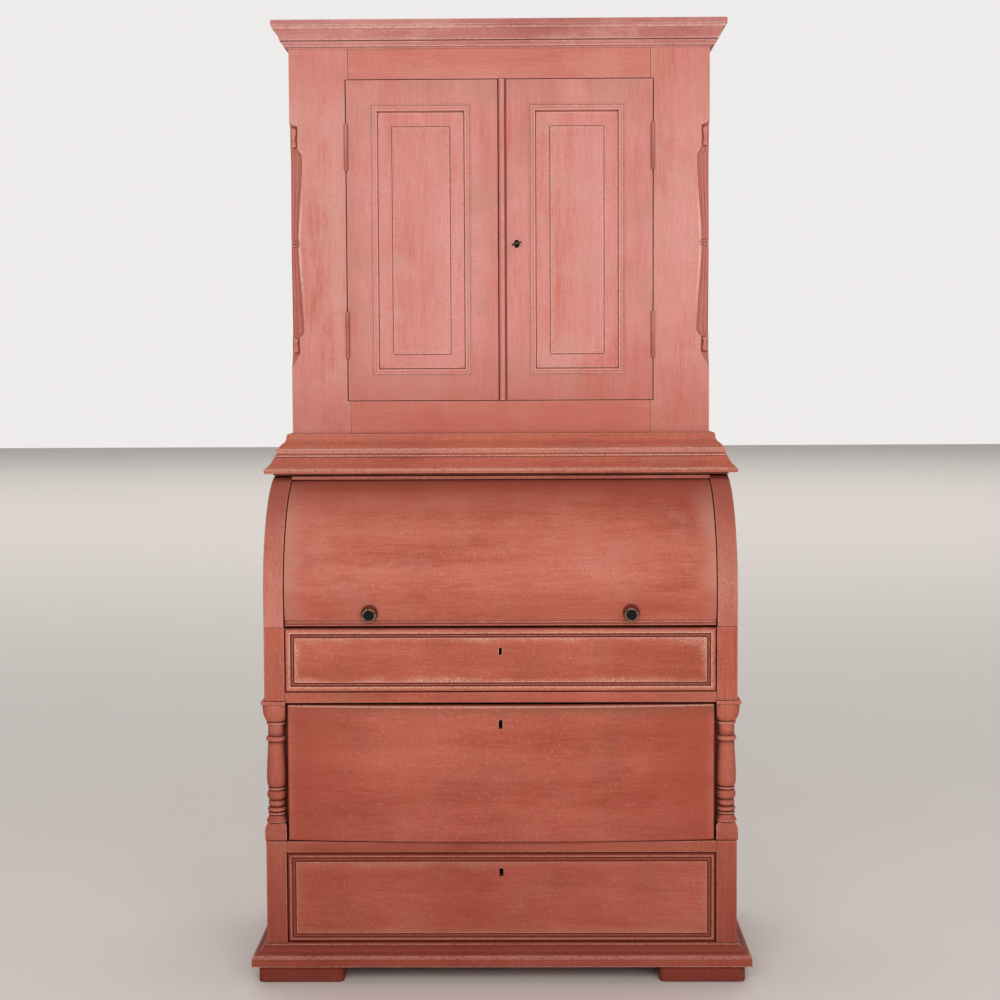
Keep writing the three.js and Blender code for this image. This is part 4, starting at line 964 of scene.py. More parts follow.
@dataclass
class Mouldings:
    """Plinth, waist moulding and cornice, each with its full profile of distance out and height."""

    plinth: tuple[Pair, ...] = (
        (32, 38.6), (32, 55.4), (31.4, 56.8), (30.0, 57.4), (28.9, 57.4), (28.9, 58.4), (28.6, 60.2),
        (27.6, 62.0), (25.8, 63.8), (23.2, 65.4), (20.6, 66.4), (19.4, 66.6), (18.6, 65.6), (17.2, 65.6),
        (16.6, 67.4), (16.4, 69.2), (15.4, 71.4), (13.6, 73.8), (11.0, 76.2), (8.0, 78.2), (5.4, 79.6),
        (4.4, 80.0), (4.2, 81.6), (3.2, 82.8), (0.3, 83),
    )
    waist: tuple[Pair, ...] = (
        (42.5, 1123.2), (58.8, 1123.2), (60.4, 1124.2), (61, 1126), (61, 1131.4), (60.2, 1132.8),
        (58.4, 1133.4), (57.4, 1133.6), (56.8, 1135.4), (54.6, 1137.6), (51.8, 1140.2), (48.8, 1143.4),
        (46.2, 1147), (44.0, 1151), (42.2, 1154.6), (40.8, 1157.4), (39.8, 1158.6), (38.2, 1158.6),
        (38.0, 1160.8), (39.6, 1161.4), (40.0, 1163), (39.2, 1164.6), (37.6, 1165.2), (34.6, 1165.2),
        (34.2, 1167.6), (35.0, 1168.4), (35.0, 1178.4), (34.2, 1179.6), (32.6, 1179.8), (29.8, 1179.8),
        (29.4, 1182), (28.6, 1183.6), (26.6, 1186.4), (23.4, 1189.4), (19.8, 1192.2), (16.8, 1195.2),
        (14.8, 1198.6), (13.8, 1201.8), (13.4, 1206), (13.0, 1210), (12.0, 1212.2), (10.2, 1213),
        (0.3, 1213), (0.3, 1134.9), (42.5, 1134.9),
    )
    cornice: tuple[Pair, ...] = (
        (0.3, 2093), (2.8, 2093), (3.2, 2093.6), (3.2, 2096.2), (4.0, 2096.6), (8.8, 2096.8), (9.8, 2097.4),
        (10.2, 2098.6), (11.0, 2100.0), (12.8, 2102.0), (14.4, 2104.4), (15.2, 2106.6), (15.2, 2107.6),
        (12.8, 2108.2), (13.0, 2109.9), (18.4, 2110.2), (19.2, 2111.4), (19.4, 2114.8), (20.6, 2117.2),
        (22.4, 2120.4), (24.2, 2124), (25.8, 2127.8), (27.2, 2131.4), (28.2, 2133.2), (29.6, 2133.6),
        (31.8, 2133.8), (32.6, 2134.6), (32.8, 2137.8), (33.4, 2138.6), (34.0, 2139.0), (34.4, 2140.0),
        (35.8, 2140.4), (36.5, 2141.4), (36.5, 2151.8), (35.8, 2153.4), (34.2, 2154), (0.3, 2154),
    )

    @staticmethod
    def worn_between(*bands: Pair, deep: Pair = (0.0, 0.0), share: float = 0.34) -> Tone:
        """Rub the paint pale in bands of height, and paint shade in one band.

        Args:
            *bands: Lowest and highest point of each pale band.
            deep: Lowest and highest point of a band of painted shade, in deeper paint with dark glazing.
            share: How pale the rubbed bands are.

        Returns:
            The tone of each point.
        """

        def tone(places: np.ndarray) -> np.ndarray:
            """The bands as tones.

            Args:
                places: Points in a form's millimetres.

            Returns:
                The tone of each point.
            """
            # painted shade in the deep band
            shaded = between(places[:, 2], *deep)
            worn = sum(between(places[:, 2], *band) * share for band in bands)
            return tones(shaded * 0.5, shaded * 0.16, worn)

        return tone

    def dress(self) -> None:
        """Place the three mouldings."""
        half = node_size("right_corner_post")[0][1]
        (_, cupboard), (face, _), _ = node_size("right_cabinet_stile")
        back, bottom = node_size("bureau_back")[1][1], node_size("plinth_moulding")[2][0]
        plinth = swept(half, 0, back, [(0.3, bottom), (31.4, bottom), *self.plinth])
        # painted shade on the plinth's upward-facing slope
        plinth_wear_and_shade = self.worn_between((57, 57.5), (59.0, 61.0), deep=(64, 83.5), share=0.55)
        waist_wear = self.worn_between((1131.2, 1133.6), (1161.3, 1164.8), (1168.2, 1180.0))
        cornice_wear = self.worn_between((2097.3, 2098.7), (2133.7, 2138.0))
        rows = (
            ("plinth_moulding", MOULDED, plinth, plinth_wear_and_shade),
            ("waist_moulding", MOULDED, swept(cupboard, face, back, self.waist), waist_wear),
            ("cornice", PINK_MOULDED, swept(cupboard, face, back, self.cornice), cornice_wear),
        )
        place_all("mouldings", [Piece(*row[:3], Axis.ACROSS, 0, (), 24.0, row[3]) for row in rows])


def swell(base: float, peak: float, low: float, high: float, points: int = 7) -> list[Pair]:
    """Half-round bead of a turned profile, as pairs of radius and height.

    Args:
        base: Radius at the bead's two ends.
        peak: Radius at its crest.
        low: Where it starts.
        high: Where it ends.
        points: How many points it has.

    Returns:
        The bead's points.
    """
    angles = [math.pi * i / (points - 1) for i in range(points)]
    middle, half = (low + high) / 2, (high - low) / 2
    return [(base + (peak - base) * math.sin(a), middle - half * math.cos(a)) for a in angles]


@dataclass
class TurnedColumn:
    """A turned column with its square base and abacus, flush with the opening of the deep drawer."""

    base_height: float = 41.5
    abacus_height: float = 8.7
    axis: float = 501.5
    axis_depth: float = 27.0
    radius: float = 30.0
    block_half: float = 24.5
    abacus_half: float = 30.5
    crests: tuple[float, ...] = (0.069, 0.1045, 0.157, 0.281, 0.7065, 0.838)
    crest_half: float = 0.006
    quirks: tuple[float, ...] = (0.056, 0.0825, 0.1285, 0.1855, 0.267, 0.295, 0.6805, 0.732, 0.8525)
    quirk_half: float = 0.0065
    block: tuple[Pair, ...] = (
        (0, -1.6), (1.5, -0.5), (5, 0.2), (16, 0.4), (26, 0), (32, -1.2), (36.5, -3.2), (39.5, -5.6),
        (41, -7.6), (41.5, -9),
    )
    abacus: tuple[Pair, ...] = ((0, -3.4), (0.8, -3.4), (1.2, -0.8), (2.2, 0), (7.5, 0), (8.7, -1))
    shaft: tuple[Pair, ...] = (
        (0.8, 0.0), (0.78, 0.006), (0.73, 0.016), (0.67, 0.03), (0.625, 0.042), (0.6, 0.052), (0.56, 0.054),
        (0.56, 0.058), *swell(0.6, 0.67, 0.06, 0.078), (0.54, 0.08), (0.54, 0.085),
        *swell(0.6, 0.7, 0.087, 0.122), (0.5, 0.124), (0.5, 0.133), *swell(0.56, 0.625, 0.135, 0.179),
        (0.5, 0.181), (0.5, 0.19), *swell(0.58, 0.715, 0.192, 0.262, 9), (0.56, 0.264), (0.56, 0.27),
        *swell(0.6, 0.65, 0.272, 0.29), (0.55, 0.292), (0.55, 0.298), (0.62, 0.3), (0.66, 0.306),
        (0.7, 0.32), (0.722, 0.345), (0.73, 0.375), (0.724, 0.41), (0.71, 0.45), (0.69, 0.5), (0.665, 0.55),
        (0.64, 0.6), (0.618, 0.645), (0.606, 0.675), (0.57, 0.677), (0.57, 0.684),
        *swell(0.64, 0.745, 0.686, 0.727), (0.57, 0.729), (0.57, 0.735), (0.604, 0.738), (0.596, 0.78),
        (0.6, 0.822), (0.6, 0.825), (0.7, 0.828), (0.71, 0.834), (0.71, 0.842), (0.69, 0.847),
        (0.64, 0.849), (0.64, 0.856), (0.72, 0.859), (0.77, 0.867), (0.83, 0.88), (0.885, 0.896),
        (0.93, 0.914), (0.962, 0.935), (0.985, 0.96), (0.99, 1.0),
    )

    def span(self) -> Pair:
        """Height at which the turned part starts and ends."""
        low, high = node_size("right_column")[2]
        return low + self.base_height, high - self.abacus_height

    def form(self, side: Side) -> Form:
        """The column's base, shaft and abacus in one form, cut flush with the drawer's opening.

        Args:
            side: Which column.

        Returns:
            The column's form.
        """
        centre = (side.value * self.axis, self.axis_depth)
        foot, top = self.span()
        made = Form()
        floor, halves = foot - self.base_height, (self.block_half, self.abacus_half)
        for loops, low, half in zip((self.block, self.abacus), (floor, top), halves):
            rings = []
            for up, grow in loops:
                s = half + grow
                corners = [(-s, -s), (s, -s), (s, s), (-s, s)]
                rings.append([(centre[0] + x, centre[1] + d, low + up) for x, d in corners])
            made.loft(rings)
        profile = [(radius * self.radius, foot + up * (top - foot)) for radius, up in self.shaft]
        made.turned([(self.radius * 0.7, foot - 1), *profile, (self.radius * 0.9, top + 1)], centre, 64)
        limit = min(map(abs, node_size(f"{side.word}_column")[0]))
        return made.moved(lambda point: (side.value * max(abs(point[0]), limit), point[1], point[2]))

    def ring_tone(self, places: np.ndarray) -> np.ndarray:
        """Paint rubbed pale on the crests of the rings and dark in the quirks between them.

        Args:
            places: Points in a form's millimetres.

        Returns:
            The tone of each point.
        """
        foot, top = self.span()
        share = (places[:, 2] - foot) / (top - foot)
        crest = np.min([np.abs(share - level) for level in self.crests], axis=0)
        quirk = np.min([np.abs(share - level) for level in self.quirks], axis=0)
        return tones(0, (quirk < self.quirk_half) * 0.55, (crest < self.crest_half) * 0.26)

    def dress(self) -> None:
        """Place both columns."""
        pieces = []
        for side in Side:
            form = self.form(side)
            pieces.append(Piece(f"{side.word}_column", MOULDED, form, Axis.UP, 0, (), 40.0, self.ring_tone))
        place_all("corner columns", pieces)


@dataclass
class CylinderFall:
    """The roll-back fall with its lip, knobs, arms and head rail."""

    centre: Pair = (256.0, 862.5)
    outer: float = 253.0
    thickness: float = 18.0
    start: float = -15.7
    end: float = 88.0
    lip_arc: float = 2.6
    top_shade: Pair = (1035.0, 65.0)
    foot_shade: Pair = (884.0, -26.0)
    knob_angle: float = -8.8
    knob_across: float = 289.0
    knob: tuple[Pair, ...] = (
        (0.0, -11.5), (4.6, -11.5), (4.6, 0.0), (17.6, 0.0), (18.3, 0.7), (18.4, 2.2), (17.6, 3.2),
        (15.8, 3.6), (14.6, 3.2), (12.4, 3.4), (10.6, 4.4), (9.6, 6.6), (9.6, 9.0), (11.2, 11.2),
        (13.4, 12.8), (14.5, 14.6), (14.9, 16.6), (14.9, 18.2), (14.6, 19.4), (13.9, 20.5), (12.9, 21.2),
        (12.2, 21.0), (11.8, 20.5), (9.0, 20.3), (0.0, 20.2),
    )
    plate_thick: float = 3.9
    rim_from: Pair = (19.0, 12.6)
    beads: tuple[Pair, ...] = (
        (0, 0.2), (0.12, 1.0), (0.4, 1.4), (0.75, 1.0), (0.95, 0.1), (1.0, -1.2), (1.25, -1.2), (1.3, 0.0),
        (1.85, 0.4), (2.15, 1.3), (2.45, 1.0), (2.6, -0.1), (2.65, -1.3), (3.0, -1.0), (3.15, 0.0),
    )

    def shell(self) -> Form:
        """The curved board with its beads along the lower edge.

        Returns:
            The board's form.
        """
        outline = [on_arc(self.centre, self.outer + proud, self.start + turn) for turn, proud in self.beads]
        outline += arc(self.centre, self.outer, self.start + self.lip_arc + 1.2, self.end)
        outline += arc(self.centre, self.outer - self.thickness, self.end, self.start)
        return Form().run(outline, node_size("cylinder_fall")[0], Axis.ACROSS)

    def seat(self) -> tuple[Pair, float, float]:
        """Where a knob stands on the fall, with the cosine and sine of its angle."""
        turn = math.radians(self.knob_angle)
        return on_arc(self.centre, self.outer + 0.2, self.knob_angle), math.cos(turn), math.sin(turn)

    def knob_form(self, side: Side) -> Form:
        """A turned knob that stands square to the fall.

        Args:
            side: Which knob.

        Returns:
            The knob's form.
        """
        (depth, height), cos, sin = self.seat()
        across = side.value * self.knob_across

        def stand(point: Point) -> Point:
            """Carry a point of the upright knob to its place."""
            x, up, out = point
            return (across + x, depth + up * sin - out * cos, height + up * cos + out * sin)

        return Form().turned(self.knob, (0, 0)).moved(stand)

    def plate_tone(self, side: Side) -> Tone:
        """Red paint on the knob's plate, black on the rest and a rubbed rim.

        Args:
            side: Which knob.

        Returns:
            The tone of each point.
        """
        (depth, height), cos, sin = self.seat()

        def tone(places: np.ndarray) -> np.ndarray:
            """The plate and the rim as tones.

            Args:
                places: Points in a form's millimetres.

            Returns:
                The tone of each point.
            """
            behind, above = places[:, 1] - depth, places[:, 2] - height
            out = above * sin - behind * cos
            radius = np.hypot(places[:, 0] - side.value * self.knob_across, behind * sin + above * cos)
            rim = (out > self.rim_from[0]) & (radius > self.rim_from[1])
            return tones(out < self.plate_thick, rim * 0.75, 0)

        return tone

    def shaded_top(self, places: np.ndarray) -> np.ndarray:
        """Painted shadow: deeper, browner paint where the fall runs up under the head rail, and painted
        shade along its foot.
        """
        share, foot = rise(places[:, 2], *self.top_shade), rise(places[:, 2], *self.foot_shade)
        return tones(share * 0.7 + foot * 0.36, share**2 * 0.16, 0)

    def dress(self) -> None:
        """Place the fall and what moves with it."""
        pieces = [
            Piece("cylinder_fall", FALL_PAINT, self.shell(), Axis.ACROSS, 0.8, tone=self.shaded_top),
            board("fall_head_rail", MOULDED, arris=0.6),
        ]
        for side in Side:
            knob = Piece(f"{side.word}_fall_knob", BLACK, self.knob_form(side), Axis.UP, 0)
            knob.tone = self.plate_tone(side)
            pieces += [knob, board(f"{side.word}_fall_arm", IRON, Axis.UP, 0.5)]
        place_all("cylinder fall", pieces)


def keyhole_cut(top: float, depth: Pair, radius: float, slot: float, length: float) -> Form:
    """A keyhole-shaped cutter in the middle of a drawer front.

    Args:
        top: Height of the hole's top.
        depth: Where the cutter starts and ends.
        radius: Radius of the round eye.
        slot: Width of the slot below it.
        length: Height of the whole hole.

    Returns:
        The cutter's form.
    """
    neck, segments = math.acos(slot / 2 / radius), 24
    turns = [-neck + (math.pi + 2 * neck) * i / segments for i in range(segments + 1)]
    outline = [(radius * math.cos(a), top - radius + radius * math.sin(a)) for a in turns]
    outline += [(-slot / 2, top - length), (slot / 2, top - length)]
    return Form().run(outline, depth, Axis.DEPTH)


@dataclass
class FlatDrawer:
    """A drawer with a flat front and a bead sunk round its field."""

    name: str
    key_drop: float
    margin: float = 11.4
    band: float = 9.2
    bead: float = 4.4
    paint: DistressedPaint = DRAWER_PAINT
    rubbed: float = 0.6
    edge_shade: float = 0.5
    edge_reach: float = 2.6
    key: tuple[float, float, float] = (3.9, 7.2, 17.5)
    bead_top: float = 1.0
    sink: float = 3.2
    plain_below: float = 0.4

    def front(self) -> Form:
        """The front board, from its back face over the bead to its field.

        Returns:
            The board's form.
        """
        across, (face, back), height = node_size(f"{self.name}_front")
        start, end = self.margin + (self.band - self.bead) / 2, self.margin + self.band
        floor = face + self.sink
        steps = [(0, back), (0, face + 3.2), (0.4, face + 1.7), (1.3, face + 0.6), (2.4, face + 0.1)]
        steps += [(self.edge_reach, face), (self.edge_reach + 0.8, face), (self.margin - 0.4, face)]
        steps += [(self.margin, face + 0.4), (self.margin + 0.2, floor), (start - 0.1, floor)]
        for turn in (math.pi * i / 8 for i in range(9)):
            inset = start + self.bead / 2 * (1 - math.cos(turn))
            steps.append((inset, floor - (self.sink - self.bead_top) * math.sin(turn)))
        steps += [(start + self.bead + 0.1, floor), (end - 0.3, floor)]
        steps += [(end, face + 0.5), (end + 0.5, face), (end + 1.6, face)]
        return Form().plates(inset_loops(across, height, steps))

    def band_tone(self, places: np.ndarray) -> np.ndarray:
        """Deeper paint and dark glazing in the sunk band, rubbed edges beside it, and a painted shadow
        along the outer edge.

        Args:
            places: Points in a form's millimetres.

        Returns:
            The tone of each point.
        """
        across, (face, _), height = node_size(f"{self.name}_front")
        inset, behind = inset_of(places, across, height), places[:, 1] - face
        end, reach = self.margin + self.band, self.edge_reach + 0.1
        inside = between(inset, self.margin - 0.1, end + 0.1) & between(behind, 0.45, 10)
        brink = (np.abs(inset - self.margin) < 0.6) | (np.abs(inset - end - 0.3) < 0.4)
        plain = between(inset, reach, self.margin + 0.5) & (self.rubbed < self.plain_below)
        # painted shadow of the gap: dark within edge_reach of the front's outer edge
        dark = np.maximum.reduce([inside * 0.3, (inset < reach) * self.edge_shade, plain * 0.1])
        pale = ((np.abs(behind) < 0.45) & brink) * self.rubbed
        return tones(np.maximum(inside, plain * 0.6), dark, pale)

    def dress(self) -> None:
        """Place the drawer's front and box."""
        node = f"{self.name}_front"
        _, (face, back), (_, top) = node_size(node)
        hole = keyhole_cut(top - self.key_drop, (face - 5, back + 5), *self.key)
        front = Piece(node, self.paint, self.front(), Axis.ACROSS, 0, [hole], 30.0, self.band_tone)
        place_all(self.name, [front, box(f"{self.name}_box")])


@dataclass
class BowedDrawer:
    """The deep drawer, whose plain front bows outwards."""

    name: str = "deep_drawer"
    bow: float = 22.0
    thickness: float = 22.0
    key_drop: float = 30.0
    key: tuple[float, float, float] = (4.6, 8.4, 20.5)
    segments: int = 48
    end_line: float = 3.0
    shade_reach: float = 190.0
    shade_span: float = 150.0

    def front(self) -> Form:
        """The bowed board with softened long edges.

        Returns:
            The board's form.
        """
        (x0, x1), (d0, _), (z0, z1) = node_size(f"{self.name}_front")
        radius = (((x1 - x0) / 2) ** 2 + self.bow**2) / (2 * self.bow)
        stops = [x0 + (x1 - x0) * i / self.segments for i in range(1, self.segments)]
        rings = []
        for x in [x0, x0 + self.end_line, *stops, x1 - self.end_line, x1]:
            face = d0 + radius - math.sqrt(radius**2 - x**2)
            back = d0 + radius - math.sqrt((radius - self.thickness) ** 2 - x**2)
            edge = [(1.8, z0), (0.5, z0 + 0.6), (0, z0 + 2.6), (0, z1 - 5), (0, z1 - 2.2), (0.5, z1 - 0.6)]
            edge.append((1.8, z1))
            rings.append([*((x, face + sunk, z) for sunk, z in edge), (x, back, z1), (x, back, z0)])
        return Form().loft(rings)

    def end_tone(self, places: np.ndarray) -> np.ndarray:
        """Deeper paint towards the ends, a painted shadow along the bottom and end edges, and a rubbed line
        along the top arris.

        Args:
            places: Points in a form's millimetres.

        Returns:
            The tone of each point.
        """
        (_, x1), _, (z0, z1) = node_size(f"{self.name}_front")
        x, z = np.abs(places[:, 0]), places[:, 2]
        ends = rise(x, x1 - self.shade_reach, self.shade_span) ** 1.3 * (x < x1 - 6)
        # painted shadow of the gap along the bottom edge and the ends
        edge = (z < z0 + 1.5) | (x > x1 - 1)
        return tones(ends * 0.6, edge * 0.9, between(z, z1 - 2.6, z1 - 0.3) * 0.6 * ~edge)

    def dress(self) -> None:
        """Place the deep drawer's front and box."""
        node = f"{self.name}_front"
        _, (face, _), (_, top) = node_size(node)
        hole = keyhole_cut(top - self.key_drop, (face - 5, face + 40), *self.key)
        front = Piece(node, DEEP_PAINT, self.front(), Axis.ACROSS, 0, [hole], tone=self.end_tone)
        place_all(self.name, [front, box(f"{self.name}_box")])


# Cupboard


@dataclass
class CarvedStile:
    """A cupboard stile whose outer corner is carved with a reeded, waisted baluster.

    Each station gives a height, the carving's width, how deep it is sunk and its share of the reeds.
    """

    reeds: int = 3
    reed_rise: float = 3.4
    points_per_reed: int = 8
    stations: tuple[tuple[float, float, float, float], ...] = (
        (1361, 0.2, 0.0, 0.0), (1376, 8.0, 0.4, 0.0), (1399, 20.5, 1.0, 0.0), (1401, 20.5, 3.4, 0.0),
        (1418, 20.5, 3.4, 0.0), (1434, 20.5, 3.4, 0.0), (1436, 22.0, 0.6, 0.0), (1439, 25.0, 1.4, 0.3),
        (1443, 28.5, 2.6, 0.7), (1450, 30.0, 3.4, 1.0), (1461, 30.0, 3.4, 1.0), (1490, 28.2, 3.2, 1.0),
        (1530, 25.6, 3.0, 0.95), (1570, 22.8, 2.8, 0.85), (1605, 20.4, 2.6, 0.75), (1632, 19.3, 2.4, 0.7),
        (1642, 19.3, 2.4, 0.6), (1644, 19.3, 3.6, 0.0), (1646, 20.0, 0.8, 0.0), (1649, 20.0, 0.6, 0.0),
        (1650.5, 19.6, 3.2, 0.0), (1652, 20.0, 0.6, 0.0), (1655, 20.0, 0.8, 0.0), (1657, 19.3, 3.6, 0.0),
        (1659, 19.3, 2.4, 0.6), (1668, 19.4, 2.4, 0.7), (1700, 20.8, 2.6, 0.8), (1740, 23.6, 2.8, 0.9),
        (1780, 26.4, 3.0, 0.95), (1822, 28.8, 3.2, 1.0), (1846, 29.0, 3.4, 1.0), (1856, 27.0, 3.0, 0.8),
        (1861, 23.0, 1.6, 0.3), (1864, 21.0, 0.6, 0.0), (1868, 20.5, 0.6, 0.0), (1870, 19.5, 3.4, 0.0),
        (1890, 19.5, 3.4, 0.0), (1915, 19.5, 3.4, 0.0), (1917, 19.5, 1.0, 0.0), (1922, 9.0, 0.4, 0.0),
        (1927.5, 0.2, 0.0, 0.0),
    )
    plain: Point = (0.2, 0.0, 0.0)
    ends: Pair = (1360.5, 1928.0)
    figure: tuple[Pair, ...] = (
        (0.0, 1.0), (4.2, 0.99), (6.4, 0.94), (7.6, 0.86), (7.9, 0.78), (7.2, 0.68), (5.8, 0.58),
        (4.6, 0.49), (4.1, 0.41), (4.0, 0.35), (4.6, 0.31), (6.0, 0.27), (6.8, 0.2), (6.8, 0.13),
        (6.0, 0.06), (0.0, 0.0),
    )
    niches: tuple[Pair, ...] = ((1869.5, 1916.0), (1434.5, 1400.5))
    shaded: Pair = (1372.0, 1922.0)
    reeded: Pair = (1436.0, 1867.0)
    ring_height: float = 1650.5
    ring_half: float = 4.6

    def corner(self, width: float, sunk: float, share: float) -> list[Pair]:
        """Section of the carved corner from the front face to the side.

        Args:
            width: The carving's width.
            sunk: How deep it is sunk.
            share: Its share of the reeds.

        Returns:
            Points across and in depth from the corner.
        """
        count = self.reeds * self.points_per_reed
        made = [(-width - 6.0, 0.0), (-width - 2.0, 0.0), (-width, 0.0)]
        for along in (i / count for i in range(count + 1)):
            ripple = abs(math.sin(math.pi * along * self.reeds)) * self.reed_rise * share
            off = (ripple - sunk * min(1.0, 8 * along, 8 * (1 - along))) / math.sqrt(2)
            inset = 0.04 + 0.92 * along
            made.append((min(-width * (1 - inset) + off, 0.0), max(width * inset - off, 0.0)))
        return [*made, (0.0, width)]

    def form(self, side: Side) -> Form:
        """The whole stile with its carving and its shoulders above and below the door.

        Args:
            side: Which stile.

        Returns:
            The stile's form.
        """
        across, (face, back), height = node_size(f"{side.word}_cabinet_stile")
        outer, shoulder = max(across, key=abs), min(across, key=abs)
        doorway = max(node_size(f"{side.word}_door_frame")[0], key=abs) + side.value * 3.0
        low, high = node_size("cabinet_floor")[2][1], node_size("cabinet_top_rail")[2][0]
        sections = [(height[0], *self.plain, shoulder), (low, *self.plain, shoulder)]
        sections += [(low, *self.plain, doorway), (self.ends[0], *self.plain, doorway)]
        sections += [(*station, doorway) for station in self.stations]
        sections += [(self.ends[1], *self.plain, doorway), (high, *self.plain, doorway)]
        sections += [(high, *self.plain, shoulder), (height[1], *self.plain, shoulder)]
        rings = []
        for z, width, sunk, share, inner in sections:
            ring = [(inner, back, z), (inner, face + 1.4, z), (inner + side.value * 0.8, face, z)]
            ring += [(outer + side.value * x, face + d, z) for x, d in self.corner(width, sunk, share)]
            rings.append([*ring, (outer, back, z)])
        made = Form().loft(rings)
        for start, end in self.niches:
            profile = [(radius, start + share * (end - start)) for radius, share in self.figure]
            made.turned(profile, (outer - side.value * 9.0, face + 9.0), 24)
        return made

    def carved_tone(self, side: Side) -> Tone:
        """Deeper paint inside the carving, dark between the reeds and pale along its worn inner edge.

        Args:
            side: Which stile.

        Returns:
            The tone of each point.
        """
        across, (face, _), _ = node_size(f"{side.word}_cabinet_stile")
        outer = max(across, key=abs)
        levels, widths, _, shares = np.array(self.stations).T

        def tone(places: np.ndarray) -> np.ndarray:
            """The carving's places as tones.

            Args:
                places: Points in a form's millimetres.

            Returns:
                The tone of each point.
            """
            height, from_face = places[:, 2], places[:, 1] - face
            from_side = np.abs(outer - places[:, 0])
            width, reeded = np.interp(height, levels, widths), np.interp(height, levels, shares)
            tall, sunk = between(height, *self.shaded), np.minimum(from_side, from_face)
            carved = tall & (from_side + from_face < width + 4) & (sunk > 0.3)
            inset = 0.5 + (from_face - from_side) / np.maximum(width * 2, 1)
            groove = (1 - np.abs(np.sin(math.pi * rise(inset, 0.04, 0.92) * self.reeds))) ** 2
            worn = tall & between(from_side - width, -0.8, 2.4) & (from_face < 1.5)
            niche = (height < self.reeded[0]) | (height > self.reeded[1])
            shade = carved * np.where(niche, 0.35, 0.5 + 0.45 * groove)
            ring = carved & (np.abs(height - self.ring_height) < self.ring_half) & (sunk < 1.3)
            pale = np.maximum(worn * rise(width, 26, -4) * (reeded > 0.2) * 0.8, ring * 0.5)
            shade = np.maximum(shade, rise(height, self.ends[1], 100) * 0.25)
            return tones(shade, carved * groove * reeded * 0.5, pale)

        return tone


@dataclass
class CupboardCase:
    """The upper cupboard's boards, rails, shelves and carved stiles."""

    carving: CarvedStile = field(default_factory=CarvedStile)

    def dress(self) -> None:
        """Place the cupboard's carcase."""
        pieces = []
        for side in Side:
            form, tone = self.carving.form(side), self.carving.carved_tone(side)
            stile = Piece(f"{side.word}_cabinet_stile", CARVED, form, Axis.UP, 0, (), 26.0, tone)
            pieces += [stile, board(f"{side.word}_cabinet_side", PINK, Axis.UP)]
        pieces += [board(f"cabinet_{name}_rail", PINK_RAIL, arris=1.1) for name in ("top", "bottom")]
        boards = ("cabinet_top", "cabinet_floor", "upper_shelf", "lower_shelf")
        pieces += [board(name, PINE) for name in boards]
        place_all("cupboard carcase", [*pieces, boarded("cabinet_back", 6)])


